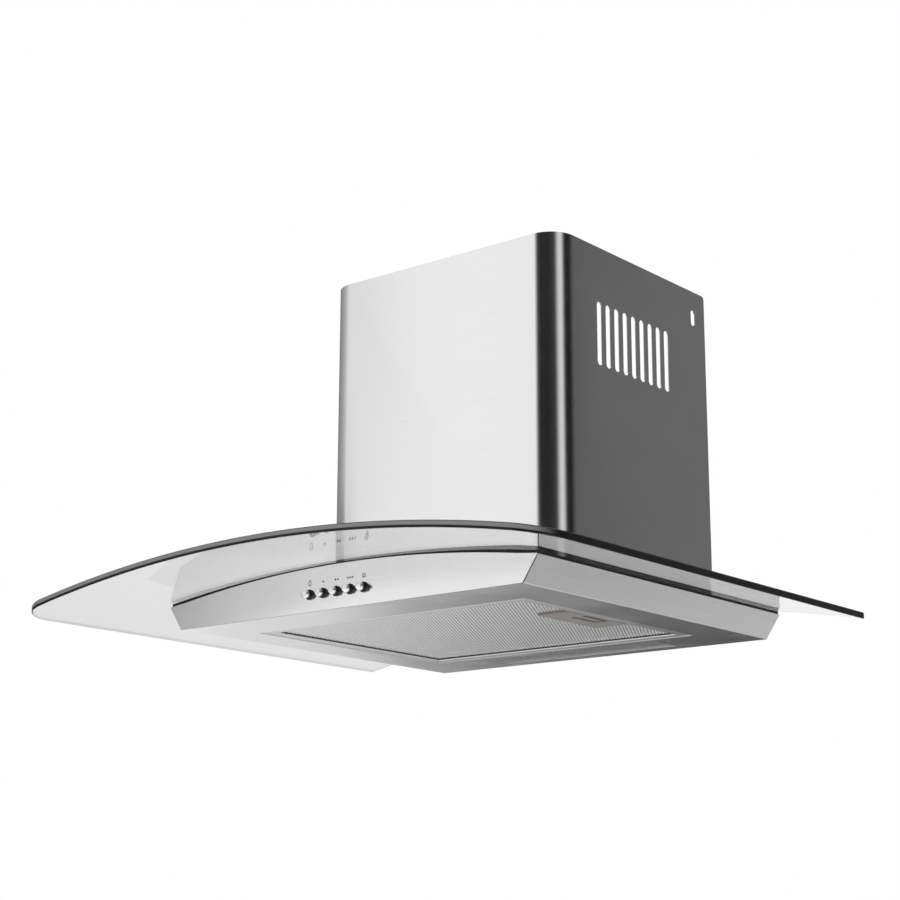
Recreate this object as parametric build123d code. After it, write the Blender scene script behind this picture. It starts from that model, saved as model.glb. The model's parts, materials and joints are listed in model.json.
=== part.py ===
from build123d import *
import os
from math import acos, cos, degrees, radians, sin, sqrt

# Wall-hung curved glass range hood, in millimetres.
# Origin: wall plane (y = 0), middle of the hood (x = 0), underside of the body (z = 0).
# +X to the right, -Y out into the room, +Z up.

# ---------------------------------------------------------------- driving sizes
# Glass canopy, bent about an axis along Y
GLASS_WIDTH = 600.0
GLASS_DEPTH = 493.0
GLASS_THICKNESS = 6.0
GLASS_CORNER_RADIUS = 33.0
GLASS_CURVE_RADIUS = 1447.0  # of the underside
GLASS_CROWN_Z = 40.7  # underside, at x = 0
GLASS_NOTCH_GAP = 3.0  # round the blower box
GLASS_NOTCH_RADIUS = 2.0

# Steel body: folded pan, arched top, separate front panel
BODY_WIDTH_BOTTOM = 395.0
BODY_WIDTH_TOP = 424.0
BODY_DEPTH = 384.0
BODY_CROWN_Z = 38.9  # top edge of the front panel, at x = 0
BODY_CURVE_RADIUS = 1279.0
BODY_SHEET = 1.0
BODY_BEND_RADIUS = 1.6
PANEL_THICKNESS = 1.2
PANEL_SEAM = 0.3
SEAM_PAD_X = 150.0  # spot-weld pads between panel and pan, from the middle
SEAM_PAD_RADIUS = 5.0
TOP_PLATE_SHEET = 1.0
TOP_PLATE_DROP = 0.3  # below the front panel's top edge
TOP_PLATE_GAP = 0.3  # to the pan's sides
TOP_FLANGE = 12.0
AIR_HOLE_BORDER = 14.0  # flange of the blower box, round the air hole
GASKET_WIDTH = 12.0
GASKET_SETBACK = 1.0
GASKET_BED_GAP = 0.02  # to the glass above and the panel's edge below

# Chimney cover, a U open to the wall
CHIMNEY_WIDTH = 280.0
CHIMNEY_DEPTH = 253.0
CHIMNEY_TOP_Z = 354.0
CHIMNEY_CORNER_RADIUS = 26.0
CHIMNEY_SHEET = 1.0
CHIMNEY_RETURN = 12.0
CHIMNEY_RETURN_TOP_Z = 328.0
CHIMNEY_NOSE_RADIUS = 4.0  # rear top corner of each side
CHIMNEY_SEAT_GAP = 0.3
VENT_COUNT = 9
VENT_PITCH = 14.2
VENT_WIDTH = 7.6
VENT_LENGTH = 61.5
VENT_CENTRE_Y = -129.0
VENT_CENTRE_Z = 269.3
HANG_SLOT_WIDTH = 6.5
HANG_SLOT_LENGTH = 16.0
HANG_SLOT_Y = -22.0
HANG_SLOT_Z = 326.0

# Blower box, hung on the wall inside the chimney
BOX_WIDTH = 220.0
BOX_DEPTH = 214.0
BOX_TOP_Z = 232.0
BOX_SHEET = 1.0
BOX_SCREW_INSET = 16.0  # end screws of each row, along the flange from its corner
KEYHOLE_SPACING = 150.0
KEYHOLE_Z = 205.0
KEYHOLE_HEAD_RADIUS = 6.0
KEYHOLE_SLOT_RADIUS = 3.0
KEYHOLE_RISE = 9.0
LOCK_HOLE_RADIUS = 3.25
LOCK_HOLE_Z = 75.0

# Scroll, impeller and motor, axis along X
FAN_Y = -80.0
FAN_Z = 130.0
SCROLL_WIDTH = 96.0
SCROLL_WALL = 1.5
SCROLL_RADII = (70.5, 78.0, 86.0)  # rear, bottom and front quarters
SCROLL_TONGUE = 5.0  # outlet wall, behind the axis
SCROLL_INLET_RADIUS = 52.0
SCROLL_FLANGE = 15.0
SCROLL_SCREW_INSET = (4.5, 5.0)  # from the flange's side and its ends
IMPELLER_RADIUS = 65.0
IMPELLER_WIDTH = 87.0
IMPELLER_SHEET = 1.5
BLADE_COUNT = 36
BLADE_CHORD = 10.0
BLADE_THICKNESS = 0.9
BLADE_ANGLE = 28.0
BLADE_TRIM = 1.4  # chord left off, so that the turned blade stays within the rings
BLADE_SHIFT = 0.6  # towards the shaft
HUB_RADIUS = 10.0
HUB_LENGTH = 16.0
SHAFT_RADIUS = 4.0
SHAFT_CLEARANCE = 0.05
PRESS_GAP = 0.02
MOTOR_RADIUS = 40.0
MOTOR_LENGTH = 54.0
MOTOR_HUB_GAP = 8.0
MOTOR_EDGE_RADIUS = 5.0
MOTOR_BOSS_RADIUS = 20.0
MOTOR_BOSS_HEIGHT = 2.0
MOTOR_BORE_GAP = 0.4
MOTOR_VENT_COUNT = 12
MOTOR_VENT_RADIUS = 3.0
MOTOR_VENT_INSET = 9.0
MOTOR_VENT_DEPTH = 8.0
SHAFT_TAILS = (4.0, 2.0)  # past the motor's left end and past the hub
BEARING_RADIUS = 8.0
BEARING_WIDTH = 6.0
SPIDER_SHEET = 2.0
SPIDER_ARM = 12.0
SPIDER_HUB_RADIUS = 24.8
SPIDER_BORE_GAP = 1.5
SPIDER_EYE = 1.0  # round a mount, past the arm's half width
MOUNT_CIRCLE = 59.0
MOUNT_RADIUS = 5.0

# Duct collar and its two damper flaps
COLLAR_RADIUS = 74.0
COLLAR_WALL = 1.5
COLLAR_HEIGHT = 36.0
COLLAR_FLANGE_RADIUS = 84.0
COLLAR_FLANGE_SHEET = 2.0
COLLAR_Y = -124.0
LEDGE_WIDTH = 2.5
LEDGE_Z = 237.0
LEDGE_SHEET = 1.5
FLAP_GAP = 1.0
FLAP_SHEET = 1.0
FLAP_SEAT_GAP = 0.3
AXLE_RADIUS = 1.5
AXLE_RISE = 2.6  # above the flap's upper face
KNUCKLE_RADIUS = 2.8
KNUCKLE_LENGTH = 20.0
FRONT_KNUCKLES = (-60.0, 38.0)  # where each knuckle starts along the axle
REAR_KNUCKLES = (-37.0, 15.0)
KNUCKLE_GAP = 0.5  # flap's straight edge to the other flap's knuckles
KNUCKLE_WEB = 1.6

# Push buttons on the front panel
BUTTON_NAMES = ("button_off", "button_speed_1", "button_speed_2", "button_speed_3", "button_light")
BUTTON_PITCH = 15.8
BUTTON_CENTRE_X = -3.4
BUTTON_Z = 15.2
BUTTON_RADIUS = 3.5
BUTTON_PROUD = 7.6
BUTTON_NOSE = 0.8
BUTTON_CLEARANCE = 0.05
BUTTON_TRAVEL = 3.0
STEM_RADIUS = 2.0
BEZEL_RADIUS = 4.7
BEZEL_PROUD = 1.4
BEZEL_SLEEVE_RADIUS = 4.1
BEZEL_CHAMFER = 0.5
BEZEL_HOLE_GAP = 0.1
SWITCH_GAP = 0.3
SWITCH_DEPTH = 19.0
SWITCH_CAVITY = 15.0
SWITCH_HEIGHT = 15.0
SWITCH_EAR = 8.0
SWITCH_EAR_SHEET = 3.0
SWITCH_EAR_HEIGHT = 10.0
SWITCH_TAB = (0.8, 3.0, 6.0)  # terminal blades: thickness, width, length
SWITCH_TAB_RISE = 4.0  # over and under the button's axis
SWITCH_BORE_GAP = 0.3
STEM_TAIL = 1.5  # out of the block's rear
BUTTON_TAIL = 7.5  # cap's length behind the switch block's front
MARK_Z = 25.4
MARK_THICKNESS = 0.12
MARK_DOT_RADIUS = 0.8
MARK_DOT_PITCH = 2.8
MARK_LINE = 0.5
MARK_RING = (1.6, 2.6)  # half width and half height of the off mark
MARK_LAMP_RADIUS = 1.55
MARK_RAY_COUNT = 8
MARK_RAY_LENGTH = 1.0
MARK_RAY_RADIUS = 1.95  # middle of a ray
MARK_RAY_WIDTH = 0.4

# Springs behind the buttons and the latch
SPRING_WIRE = 0.5
SPRING_TURNS = 5
SPRING_END_GAP = 0.1
BUTTON_SPRING_RADIUS = 2.8
LATCH_SPRING_RADIUS = 1.9

# Grease filter cassette, hinged on its left edge, latched on its right
FILTER_WIDTH = 309.0
FILTER_DEPTH = 260.0
FILTER_CENTRE_Y = -194.0
FILTER_Z = 0.4  # underside
FILTER_HEIGHT = 9.0
FILTER_GAP = 0.7
FILTER_LIP = 11.0
FILTER_SHEET = 0.8
MESH_INSET = 3.0  # mesh edge to the outside of the cassette
MESH_REST = (4.5, 7.5)  # strip under the mesh, from the outside of the cassette
MESH_Z = 3.0  # underside of the outer mesh
MESH_OUTER = 0.7
MESH_LAYER = 0.35
MESH_LAYERS = 4
MESH_LAYER_GAP = 0.7
MESH_GAP = 0.1
PIVOT_INSET = 5.0
PIVOT_RISE = 4.8
PIVOT_RADIUS = 2.0
PIVOT_HEAD_RADIUS = 3.2
PIVOT_CLEARANCE = 0.05
PIVOT_HEAD_HEIGHT = 1.2
PIVOT_TAIL = 0.8  # past the lug
PIVOT_ROOT = 0.5  # into the head
LUG_RISE = 5.0  # over the pivot's axis
LUG_SHEET = 1.5
LUG_WIDTH = 12.0
LUG_GAP = 1.2
LUG_FOOT = 10.0
HANDLE_WIDTH = 35.0
HANDLE_LENGTH = 89.0
HANDLE_GAP = 0.3
HANDLE_CENTRE_Y = -199.0
HANDLE_SHEET = 1.0
HANDLE_HEIGHT = 8.0
FINGER_SLOT_INSETS = (17.6, 2.2)  # its left and right edges, from the tray's right edge
FINGER_SLOT_LENGTH = 38.0
FINGER_SLOT_RADIUS = 2.0
HANDLE_LIP_GAP = 0.05
HANDLE_LIP_NOTCH = 4.0  # each side of the bolt
BOLT_WIDTH = 22.0
BOLT_ENGAGEMENT = 3.3
BOLT_CLEARANCE = 0.5
BOLT_SIDE_GAP = 0.4
SLIDER_SHEET = 1.2
SLIDER_INSET = 9.8  # from the tray's left edge
FINGER_BAR_INSET = 9.8  # bar's right edge, from the tray's right edge
GUIDE_WIDTH = 1.5
GUIDE_HOOK = 1.2
SLIDER_LIP = 5.0
SLIDER_WIDTH = 46.0
SLIDER_RIM = 1.8
SLIDER_SIDE_GAP = 0.3
SLIDER_SLOT_GAP = 0.2  # under and over the bolt in the cassette

# Lamp behind a window in the rear strip of the underside
LAMP_WIDTH = 213.0
LAMP_DEPTH = 34.0
LAMP_CENTRE_Y = -33.5
LENS_MARGIN = 4.0
LENS_THICKNESS = 2.0
LAMP_TRAY_SHEET = 1.0
LAMP_TRAY_TOP_Z = 30.0
LAMP_TRAY_FOOT = 10.0
BULB_RADIUS = 10.5
BULB_LENGTH = 68.0
HOLDER_RADIUS = 12.0
HOLDER_LENGTH = 24.0
LAMP_AXIS_Z = 17.0
LAMP_SCREW_SPREAD = 12.0  # each side of the lamp's middle
LENS_GAP = 0.5  # round the lens, in the tray
LENS_SEAT_GAP = 0.1
HOLDER_BORE = 7.0
HOLDER_WALL = 4.0
BULB_NOSE = 6.0
BULB_NECK_RADIUS = 6.7
BULB_NECK_IN = 2.0  # short of the holder's floor

# Supply terminals and motor capacitor
TERMINAL_SIZE = 34.0
TERMINAL_HEIGHT = 18.0
TERMINAL_WALL = 1.6
TERMINAL_X = -91.0
TERMINAL_Y = -196.0
WIRE_HOLE_RADIUS = 4.0
LID_PLUG = 1.5  # into the box
LID_PLUG_GAP = 0.2
GLAND_RADIUS = 8.0
GLAND_BORE = 3.6
GLAND_HEIGHT = 14.0
GLAND_NUT_HEIGHT = 4.0
GLAND_DOME_RADIUS = 6.0
GLAND_STEM_RADIUS = 4.7
GLAND_STEM_GAP = 0.1
GLAND_STEM_LENGTH = 4.0  # below the lid's underside
CAPACITOR_RADIUS = 15.0
CAPACITOR_LENGTH = 56.0
CAPACITOR_X = 86.0
CAPACITOR_Y = -160.0
CAPACITOR_Z = 62.0
CLIP_SHEET = 1.0
CLIP_WIDTH = 12.0
CLIP_GAP = 0.1
CLIP_FOOT = 16.0
CAPACITOR_EDGE = 2.0
CAPACITOR_TAB = (0.8, 4.0, 8.0)  # blades: thickness, height, length
CAPACITOR_TAB_SPREAD = 5.0

# Screws: shank radius, head radius, head height
GLASS_SCREW = (2.5, 5.0, 2.8)
SHEET_SCREW = (2.0, 3.6, 2.2)
SMALL_SCREW = (1.5, 2.7, 1.8)
SCREW_HOLE_GAP = 0.15
HEAD_GAP = 0.05  # under a head that lies on a curved sheet
SCREW_TAIL = 3.0  # past the last sheet
GLASS_HOLE_RADIUS = 4.6
STACK_CUT = 60.0  # length of a cutter through glass, seal and plate
SHEET_CUT = 10.0  # length of a cutter through two sheets
GLASS_SCREW_SIDE_Y = (-50.0, -170.0)
GLASS_SCREW_FRONT_X = 60.0
BUSH_FLANGE_RADIUS = 7.5
BUSH_FLANGE_HEIGHT = 1.5
BUSH_SEAT_GAP = 0.05  # flange to glass
BUSH_FOOT_GAP = 0.25  # sleeve to plate
BUSH_SIDE_GAP = 0.2  # sleeve in the glass's hole
GASKET_HOLE_RADIUS = 5.5
WELD_NUT_RADIUS = 5.0
WELD_NUT_HEIGHT = 5.0
WELD_NUT_GAP = 0.15  # under the plate
WELD_NUT_TAIL = 0.5  # nut past the screw's end
BRACKET_SHEET = 1.5
BRACKET_WIDTH = 18.0
BRACKET_HEIGHT = 22.0
BRACKET_Y = -45.0
BRACKET_Z = 70.0

# ---------------------------------------------------------------- worked-out levels
PLATE_TOP_CROWN = BODY_CROWN_Z - TOP_PLATE_DROP
PLATE_TOP_RADIUS = BODY_CURVE_RADIUS
GLASS_TOP_CROWN = GLASS_CROWN_Z + GLASS_THICKNESS
GLASS_TOP_RADIUS = GLASS_CURVE_RADIUS + GLASS_THICKNESS
SHELL_FRONT_Y = -BODY_DEPTH + PANEL_THICKNESS + PANEL_SEAM
COLLAR_TOP_Z = BOX_TOP_Z + COLLAR_HEIGHT
FAR = 800.0


def arc_z(crown, radius, x):
    """Height at x of an arc whose highest point is at crown."""
    return crown - (radius - sqrt(radius**2 - x**2))


BODY_SIDE_Z = arc_z(BODY_CROWN_Z, BODY_CURVE_RADIUS, BODY_WIDTH_TOP / 2)
SIDE_LEAN = (BODY_WIDTH_TOP - BODY_WIDTH_BOTTOM) / 2 / BODY_SIDE_Z
SIDE_ACROSS = BODY_SHEET * sqrt(1 + SIDE_LEAN**2)  # a side wall's thickness along X
PLATE_TOP = (PLATE_TOP_CROWN, PLATE_TOP_RADIUS)
PLATE_LOW = (PLATE_TOP_CROWN - TOP_PLATE_SHEET, PLATE_TOP_RADIUS - TOP_PLATE_SHEET)


def inside_half(z):
    """Half width between the pan's sides at height z."""
    return BODY_WIDTH_BOTTOM / 2 + SIDE_LEAN * z - SIDE_ACROSS


# ---------------------------------------------------------------- small helpers
def block(x, y, z):
    """Box between three (low, high) pairs."""
    size = [pair[1] - pair[0] for pair in (x, y, z)]
    middle = [(pair[0] + pair[1]) / 2 for pair in (x, y, z)]
    return Pos(*middle) * Box(*size)


def rod(axis, radius, span, at):
    """Cylinder along a row axis; at gives its other two coordinates in X, Y, Z order."""
    length = span[1] - span[0]
    middle = (span[0] + span[1]) / 2
    if axis == "x":
        return Pos(middle, at[0], at[1]) * Rot(0, 90, 0) * Cylinder(radius, length)
    if axis == "y":
        return Pos(at[0], middle, at[1]) * Rot(90, 0, 0) * Cylinder(radius, length)
    return Pos(at[0], at[1], middle) * Cylinder(radius, length)


def tube(axis, outer, inner, span, at):
    """Hollow rod."""
    return rod(axis, outer, span, at) - rod(axis, inner, (span[0] - 1, span[1] + 1), at)


def front_plane(y):
    """Plane at y whose sketch axes are X and Z and whose normal points to the room."""
    return Plane(origin=(0, y, 0), x_dir=(1, 0, 0), z_dir=(0, -1, 0))


def side_plane(x):
    """Plane at x whose sketch axes are Y and Z and whose normal points to +X."""
    return Plane(origin=(x, 0, 0), x_dir=(0, 1, 0), z_dir=(1, 0, 0))


def arched_slab(low, high, half_width, y):
    """Sheet between two arcs, each given as (crown, radius), over a (front, back) pair."""
    low_z = arc_z(*low, half_width)
    high_z = arc_z(*high, half_width)
    outline = [
        ThreePointArc((-half_width, low_z), (0, low[0]), (half_width, low_z)),
        Line((half_width, low_z), (half_width, high_z)),
        ThreePointArc((half_width, high_z), (0, high[0]), (-half_width, high_z)),
        Line((-half_width, high_z), (-half_width, low_z)),
    ]
    return extrude(front_plane(y[1]) * make_face(outline), y[1] - y[0])


def below_arc(crown, radius, half_width, y):
    """Everything under an arc, for cutting a wall to it."""
    z = arc_z(crown, radius, half_width)
    outline = [
        ThreePointArc((-half_width, z), (0, crown), (half_width, z)),
        Polyline((half_width, z), (half_width, -FAR), (-half_width, -FAR), (-half_width, z)),
    ]
    return extrude(front_plane(y[1]) * make_face(outline), y[1] - y[0])


def screw(kind, length):
    """Pan-head screw with its head's underside at the origin and its shank going down."""
    shank, head, height = kind
    cap = Pos(0, 0, height / 2) * Cylinder(head, height)
    cap = fillet(cap.edges().group_by(Axis.Z)[-1], height * 0.45)
    cap = cap - Pos(0, 0, height) * (Box(head * 1.1, 0.6, height * 0.8) + Box(0.6, head * 1.1, height * 0.8))
    return cap + Pos(0, 0, -length / 2) * Cylinder(shank, length)


def slot_cutter(axis, width, length, span, centre):
    """Round-ended slot that stands along Z, cut along X or Y."""
    sketch = Rot(0, 0, 90) * SlotOverall(length, width)
    plane = side_plane(span[0]) if axis == "x" else front_plane(span[1])
    return extrude(plane * Pos(*centre) * sketch, span[1] - span[0])


def shrunk(pair, by):
    """A pair drawn in at both ends."""
    return pair[0] + by, pair[1] - by


def save(node, shape):
    """Write one node."""
    solids = shape.solids()
    export_step(solids[0] if len(solids) == 1 else Compound(children=list(solids)), f"parts/{node}.step")


def both_sides(shape):
    """The shape and its mirror image across the middle plane."""
    return [shape, mirror(shape, about=Plane.YZ)]


# ---------------------------------------------------------------- steel body
def trapezoid(half_bottom, half_top, low, high):
    """Section of the pan: its sides lean outwards going up."""
    return make_face(Polyline(
        (-half_bottom, low), (half_bottom, low), (half_top, high), (-half_top, high), close=True))


def filter_opening():
    """The hole for the filter, as (x, y) pairs."""
    half_x = FILTER_WIDTH / 2 + FILTER_GAP
    half_y = FILTER_DEPTH / 2 + FILTER_GAP
    return (-half_x, half_x), (FILTER_CENTRE_Y - half_y, FILTER_CENTRE_Y + half_y)


def button_x(index):
    """Centre of one button along the panel."""
    return BUTTON_CENTRE_X + (index - (len(BUTTON_NAMES) - 1) / 2) * BUTTON_PITCH


def switch_ear_places():
    """Screws that hold the switch block, as x positions."""
    half = len(BUTTON_NAMES) * BUTTON_PITCH / 2
    return [BUTTON_CENTRE_X - half - SWITCH_EAR / 2, BUTTON_CENTRE_X + half + SWITCH_EAR / 2]


def lamp_tray_screws():
    """Screws through the lamp tray's feet, for the right-hand side."""
    x = LAMP_WIDTH / 2 + LENS_MARGIN + LENS_GAP + LAMP_TRAY_SHEET + LAMP_TRAY_FOOT / 2
    return [(x, LAMP_CENTRE_Y - LAMP_SCREW_SPREAD), (x, LAMP_CENTRE_Y + LAMP_SCREW_SPREAD)]


def make_body_shell():
    half_bottom, half_top = BODY_WIDTH_BOTTOM / 2, BODY_WIDTH_TOP / 2
    depth = -SHELL_FRONT_Y
    outer = extrude(front_plane(0) * trapezoid(half_bottom, half_top, 0, BODY_SIDE_Z), depth)
    outer = fillet(outer.edges().filter_by(Axis.Y).group_by(Axis.Z)[0], BODY_BEND_RADIUS)
    room = trapezoid(inside_half(BODY_SHEET), inside_half(BODY_SIDE_Z + 1), BODY_SHEET, BODY_SIDE_Z + 1)
    pan = outer - extrude(front_plane(1) * room, depth + 2)
    pan = pan & below_arc(*PLATE_TOP, half_top + 5, (SHELL_FRONT_Y - 1, 1))

    core_low = BODY_SIDE_Z - TOP_PLATE_SHEET
    core_half = inside_half(core_low)
    core = outer + block((-core_half, core_half), (SHELL_FRONT_Y, 0), (core_low, BODY_CROWN_Z))
    core = core & below_arc(*PLATE_LOW, half_top + 5, (SHELL_FRONT_Y - 1, 1))
    walls = core - block((-FAR, FAR), (SHELL_FRONT_Y + BODY_SHEET, -BODY_SHEET), (-1, FAR))
    edge = TOP_FLANGE
    under = (PLATE_LOW[0] - BODY_SHEET, PLATE_LOW[1] - BODY_SHEET)
    ring = core - below_arc(*under, half_top + 5, (SHELL_FRONT_Y - 1, 1))
    ring = ring - block((-core_half + edge, core_half - edge), (SHELL_FRONT_Y + edge, -edge), (0, FAR))
    shell = pan + walls + ring

    opening_x, opening_y = filter_opening()
    shell = shell - block(opening_x, opening_y, (-1, BODY_SHEET + 1))
    lamp_x = (-LAMP_WIDTH / 2, LAMP_WIDTH / 2)
    lamp_y = (LAMP_CENTRE_Y - LAMP_DEPTH / 2, LAMP_CENTRE_Y + LAMP_DEPTH / 2)
    shell = shell - block(lamp_x, lamp_y, (-1, BODY_SHEET + 1))
    wall = (SHELL_FRONT_Y - 1, SHELL_FRONT_Y + BODY_SHEET + 1)
    for index in range(len(BUTTON_NAMES)):
        shell = shell - rod("y", BEZEL_SLEEVE_RADIUS + BEZEL_HOLE_GAP, wall, (button_x(index), BUTTON_Z))
    for x in switch_ear_places():
        shell = shell - rod("y", SMALL_SCREW[0] + SCREW_HOLE_GAP, wall, (x, BUTTON_Z))
    for x, y in lamp_tray_screws():
        for side in (-1, 1):
            shell = shell - rod("z", SMALL_SCREW[0] + SCREW_HOLE_GAP, (-1, BODY_SHEET + 1), (side * x, y))
    return shell


def make_front_panel():
    half_bottom, half_top = BODY_WIDTH_BOTTOM / 2, BODY_WIDTH_TOP / 2
    outline = [
        Polyline((-half_top, BODY_SIDE_Z), (-half_bottom, 0), (half_bottom, 0), (half_top, BODY_SIDE_Z)),
        ThreePointArc((half_top, BODY_SIDE_Z), (0, BODY_CROWN_Z), (-half_top, BODY_SIDE_Z)),
    ]
    panel = extrude(front_plane(-BODY_DEPTH + PANEL_THICKNESS) * make_face(outline), PANEL_THICKNESS)
    through = (-BODY_DEPTH - 1, -BODY_DEPTH + PANEL_THICKNESS + 1)
    for index in range(len(BUTTON_NAMES)):
        panel = panel - rod("y", BEZEL_SLEEVE_RADIUS + BEZEL_HOLE_GAP, through, (button_x(index), BUTTON_Z))
    seam_pads = []
    for x in (-SEAM_PAD_X, SEAM_PAD_X):
        seam_pads.append(rod("y", SEAM_PAD_RADIUS, (through[1] - 1, SHELL_FRONT_Y), (x, BUTTON_Z)))
    return panel.fuse(*seam_pads)


def make_panel_marks():
    plane = front_plane(-BODY_DEPTH)
    ring = Ellipse(*MARK_RING) - Ellipse(*(half - MARK_LINE for half in MARK_RING))
    marks = [extrude(plane * Pos(button_x(0), MARK_Z) * ring, MARK_THICKNESS)]
    for index in (1, 2, 3):
        for dot in range(index):
            x = button_x(index) + (dot - (index - 1) / 2) * MARK_DOT_PITCH
            marks.append(extrude(plane * Pos(x, MARK_Z) * Circle(MARK_DOT_RADIUS), MARK_THICKNESS))
    lamp = Circle(MARK_LAMP_RADIUS) - Circle(MARK_LAMP_RADIUS - MARK_LINE)
    for ray in range(MARK_RAY_COUNT):
        turn = Rot(0, 0, 360 / MARK_RAY_COUNT * ray)
        lamp = lamp + turn * Pos(MARK_RAY_RADIUS, 0) * Rectangle(MARK_RAY_LENGTH, MARK_RAY_WIDTH)
    marks.append(extrude(plane * Pos(button_x(4), MARK_Z) * lamp, MARK_THICKNESS))
    return Compound(children=[solid for mark in marks for solid in mark.solids()])


def air_hole():
    """The way from the body into the blower box, as (x, y) pairs."""
    half = BOX_WIDTH / 2 - AIR_HOLE_BORDER
    return (-half, half), (-BOX_DEPTH + AIR_HOLE_BORDER, -AIR_HOLE_BORDER)


def box_screw_places():
    """Screws through the blower box's bottom flange, as (x, y)."""
    x = BOX_WIDTH / 2 - AIR_HOLE_BORDER / 2
    front = -BOX_DEPTH + AIR_HOLE_BORDER / 2
    rear = -AIR_HOLE_BORDER / 2
    rows = (front + BOX_SCREW_INSET, -BOX_DEPTH / 2, rear - BOX_SCREW_INSET)
    return [(side * x, y) for side in (-1, 1) for y in rows]


def stack_place(x, y, crown, radius):
    """Place on an arched sheet with Z square to it."""
    return Pos(x, y, arc_z(crown, radius, x)) * Rot(0, degrees(x / radius), 0)


def glass_screw_places():
    """All glass screws, as (x, y), midway between the glass's notch and the chimney."""
    side_x = (BOX_WIDTH / 2 + GLASS_NOTCH_GAP + CHIMNEY_WIDTH / 2 - CHIMNEY_SHEET) / 2
    front_y = -(BOX_DEPTH + GLASS_NOTCH_GAP + CHIMNEY_DEPTH - CHIMNEY_SHEET) / 2
    places = [(side_x, y) for y in GLASS_SCREW_SIDE_Y] + [(GLASS_SCREW_FRONT_X, front_y)]
    return [(side * x, y) for side in (-1, 1) for x, y in places]


def make_top_plate():
    half = inside_half(BODY_SIDE_Z - TOP_PLATE_DROP - TOP_PLATE_SHEET) - TOP_PLATE_GAP
    plate = arched_slab(PLATE_LOW, PLATE_TOP, half, (SHELL_FRONT_Y, 0))
    x, y = air_hole()
    plate = plate - block(x, y, (0, FAR))
    for place in glass_screw_places():
        hole = Cylinder(GLASS_SCREW[0] + SCREW_HOLE_GAP, STACK_CUT)
        plate = plate - stack_place(*place, GLASS_TOP_CROWN, GLASS_TOP_RADIUS) * hole
    for place in box_screw_places():
        hole = Cylinder(SHEET_SCREW[0] + SCREW_HOLE_GAP, SHEET_CUT)
        plate = plate - stack_place(*place, *PLATE_TOP) * hole
    return plate


def notch(gap):
    """Space that the glass and the gasket leave round the blower box, as (x, y) pairs."""
    return (-BOX_WIDTH / 2 - gap, BOX_WIDTH / 2 + gap), (-BOX_DEPTH - gap, 1.0)


def make_glass_gasket():
    front = SHELL_FRONT_Y - PANEL_SEAM + GASKET_SETBACK - PANEL_THICKNESS
    half = BODY_WIDTH_TOP / 2 - GASKET_SETBACK
    bed = (GLASS_CROWN_Z - GASKET_BED_GAP, GLASS_CURVE_RADIUS)
    slab = arched_slab(PLATE_TOP, bed, half, (front, 0))
    crown = BODY_CROWN_Z + GASKET_BED_GAP
    slab = slab - below_arc(crown, BODY_CURVE_RADIUS, half + 5, (front - 1, SHELL_FRONT_Y))
    width = GASKET_WIDTH
    inside = block((-half + width, half - width), (front + width, -width), (0, FAR))
    notch_x, notch_y = notch(GLASS_NOTCH_GAP)
    collar = block((notch_x[0] - width, notch_x[1] + width), (notch_y[0] - width, 0), (0, FAR))
    gasket = slab - (inside - collar)
    gasket = gasket - block(notch_x, notch_y, (0, FAR))
    for place in glass_screw_places():
        hole = Cylinder(GASKET_HOLE_RADIUS, STACK_CUT)
        gasket = gasket - stack_place(*place, GLASS_TOP_CROWN, GLASS_TOP_RADIUS) * hole
    return gasket


def make_glass_canopy():
    half, radius = GLASS_WIDTH / 2, GLASS_CORNER_RADIUS
    low, high = (GLASS_CROWN_Z, GLASS_CURVE_RADIUS), (GLASS_TOP_CROWN, GLASS_TOP_RADIUS)
    bent = arched_slab(low, high, half + radius, (-GLASS_DEPTH - radius, radius))
    outline = block((-half, half), (-GLASS_DEPTH, 0), (-FAR, FAR))
    corners = outline.edges().filter_by(Axis.Z).group_by(Axis.Y)[0]
    glass = bent & fillet(corners, radius)
    notch_x, notch_y = notch(GLASS_NOTCH_GAP)
    cut = block(notch_x, notch_y, (-FAR, FAR))
    cut = fillet(cut.edges().filter_by(Axis.Z).group_by(Axis.Y)[0], GLASS_NOTCH_RADIUS)
    glass = glass - cut
    for place in glass_screw_places():
        hole = Cylinder(GLASS_HOLE_RADIUS, STACK_CUT)
        glass = glass - stack_place(*place, GLASS_TOP_CROWN, GLASS_TOP_RADIUS) * hole
    return glass


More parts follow.
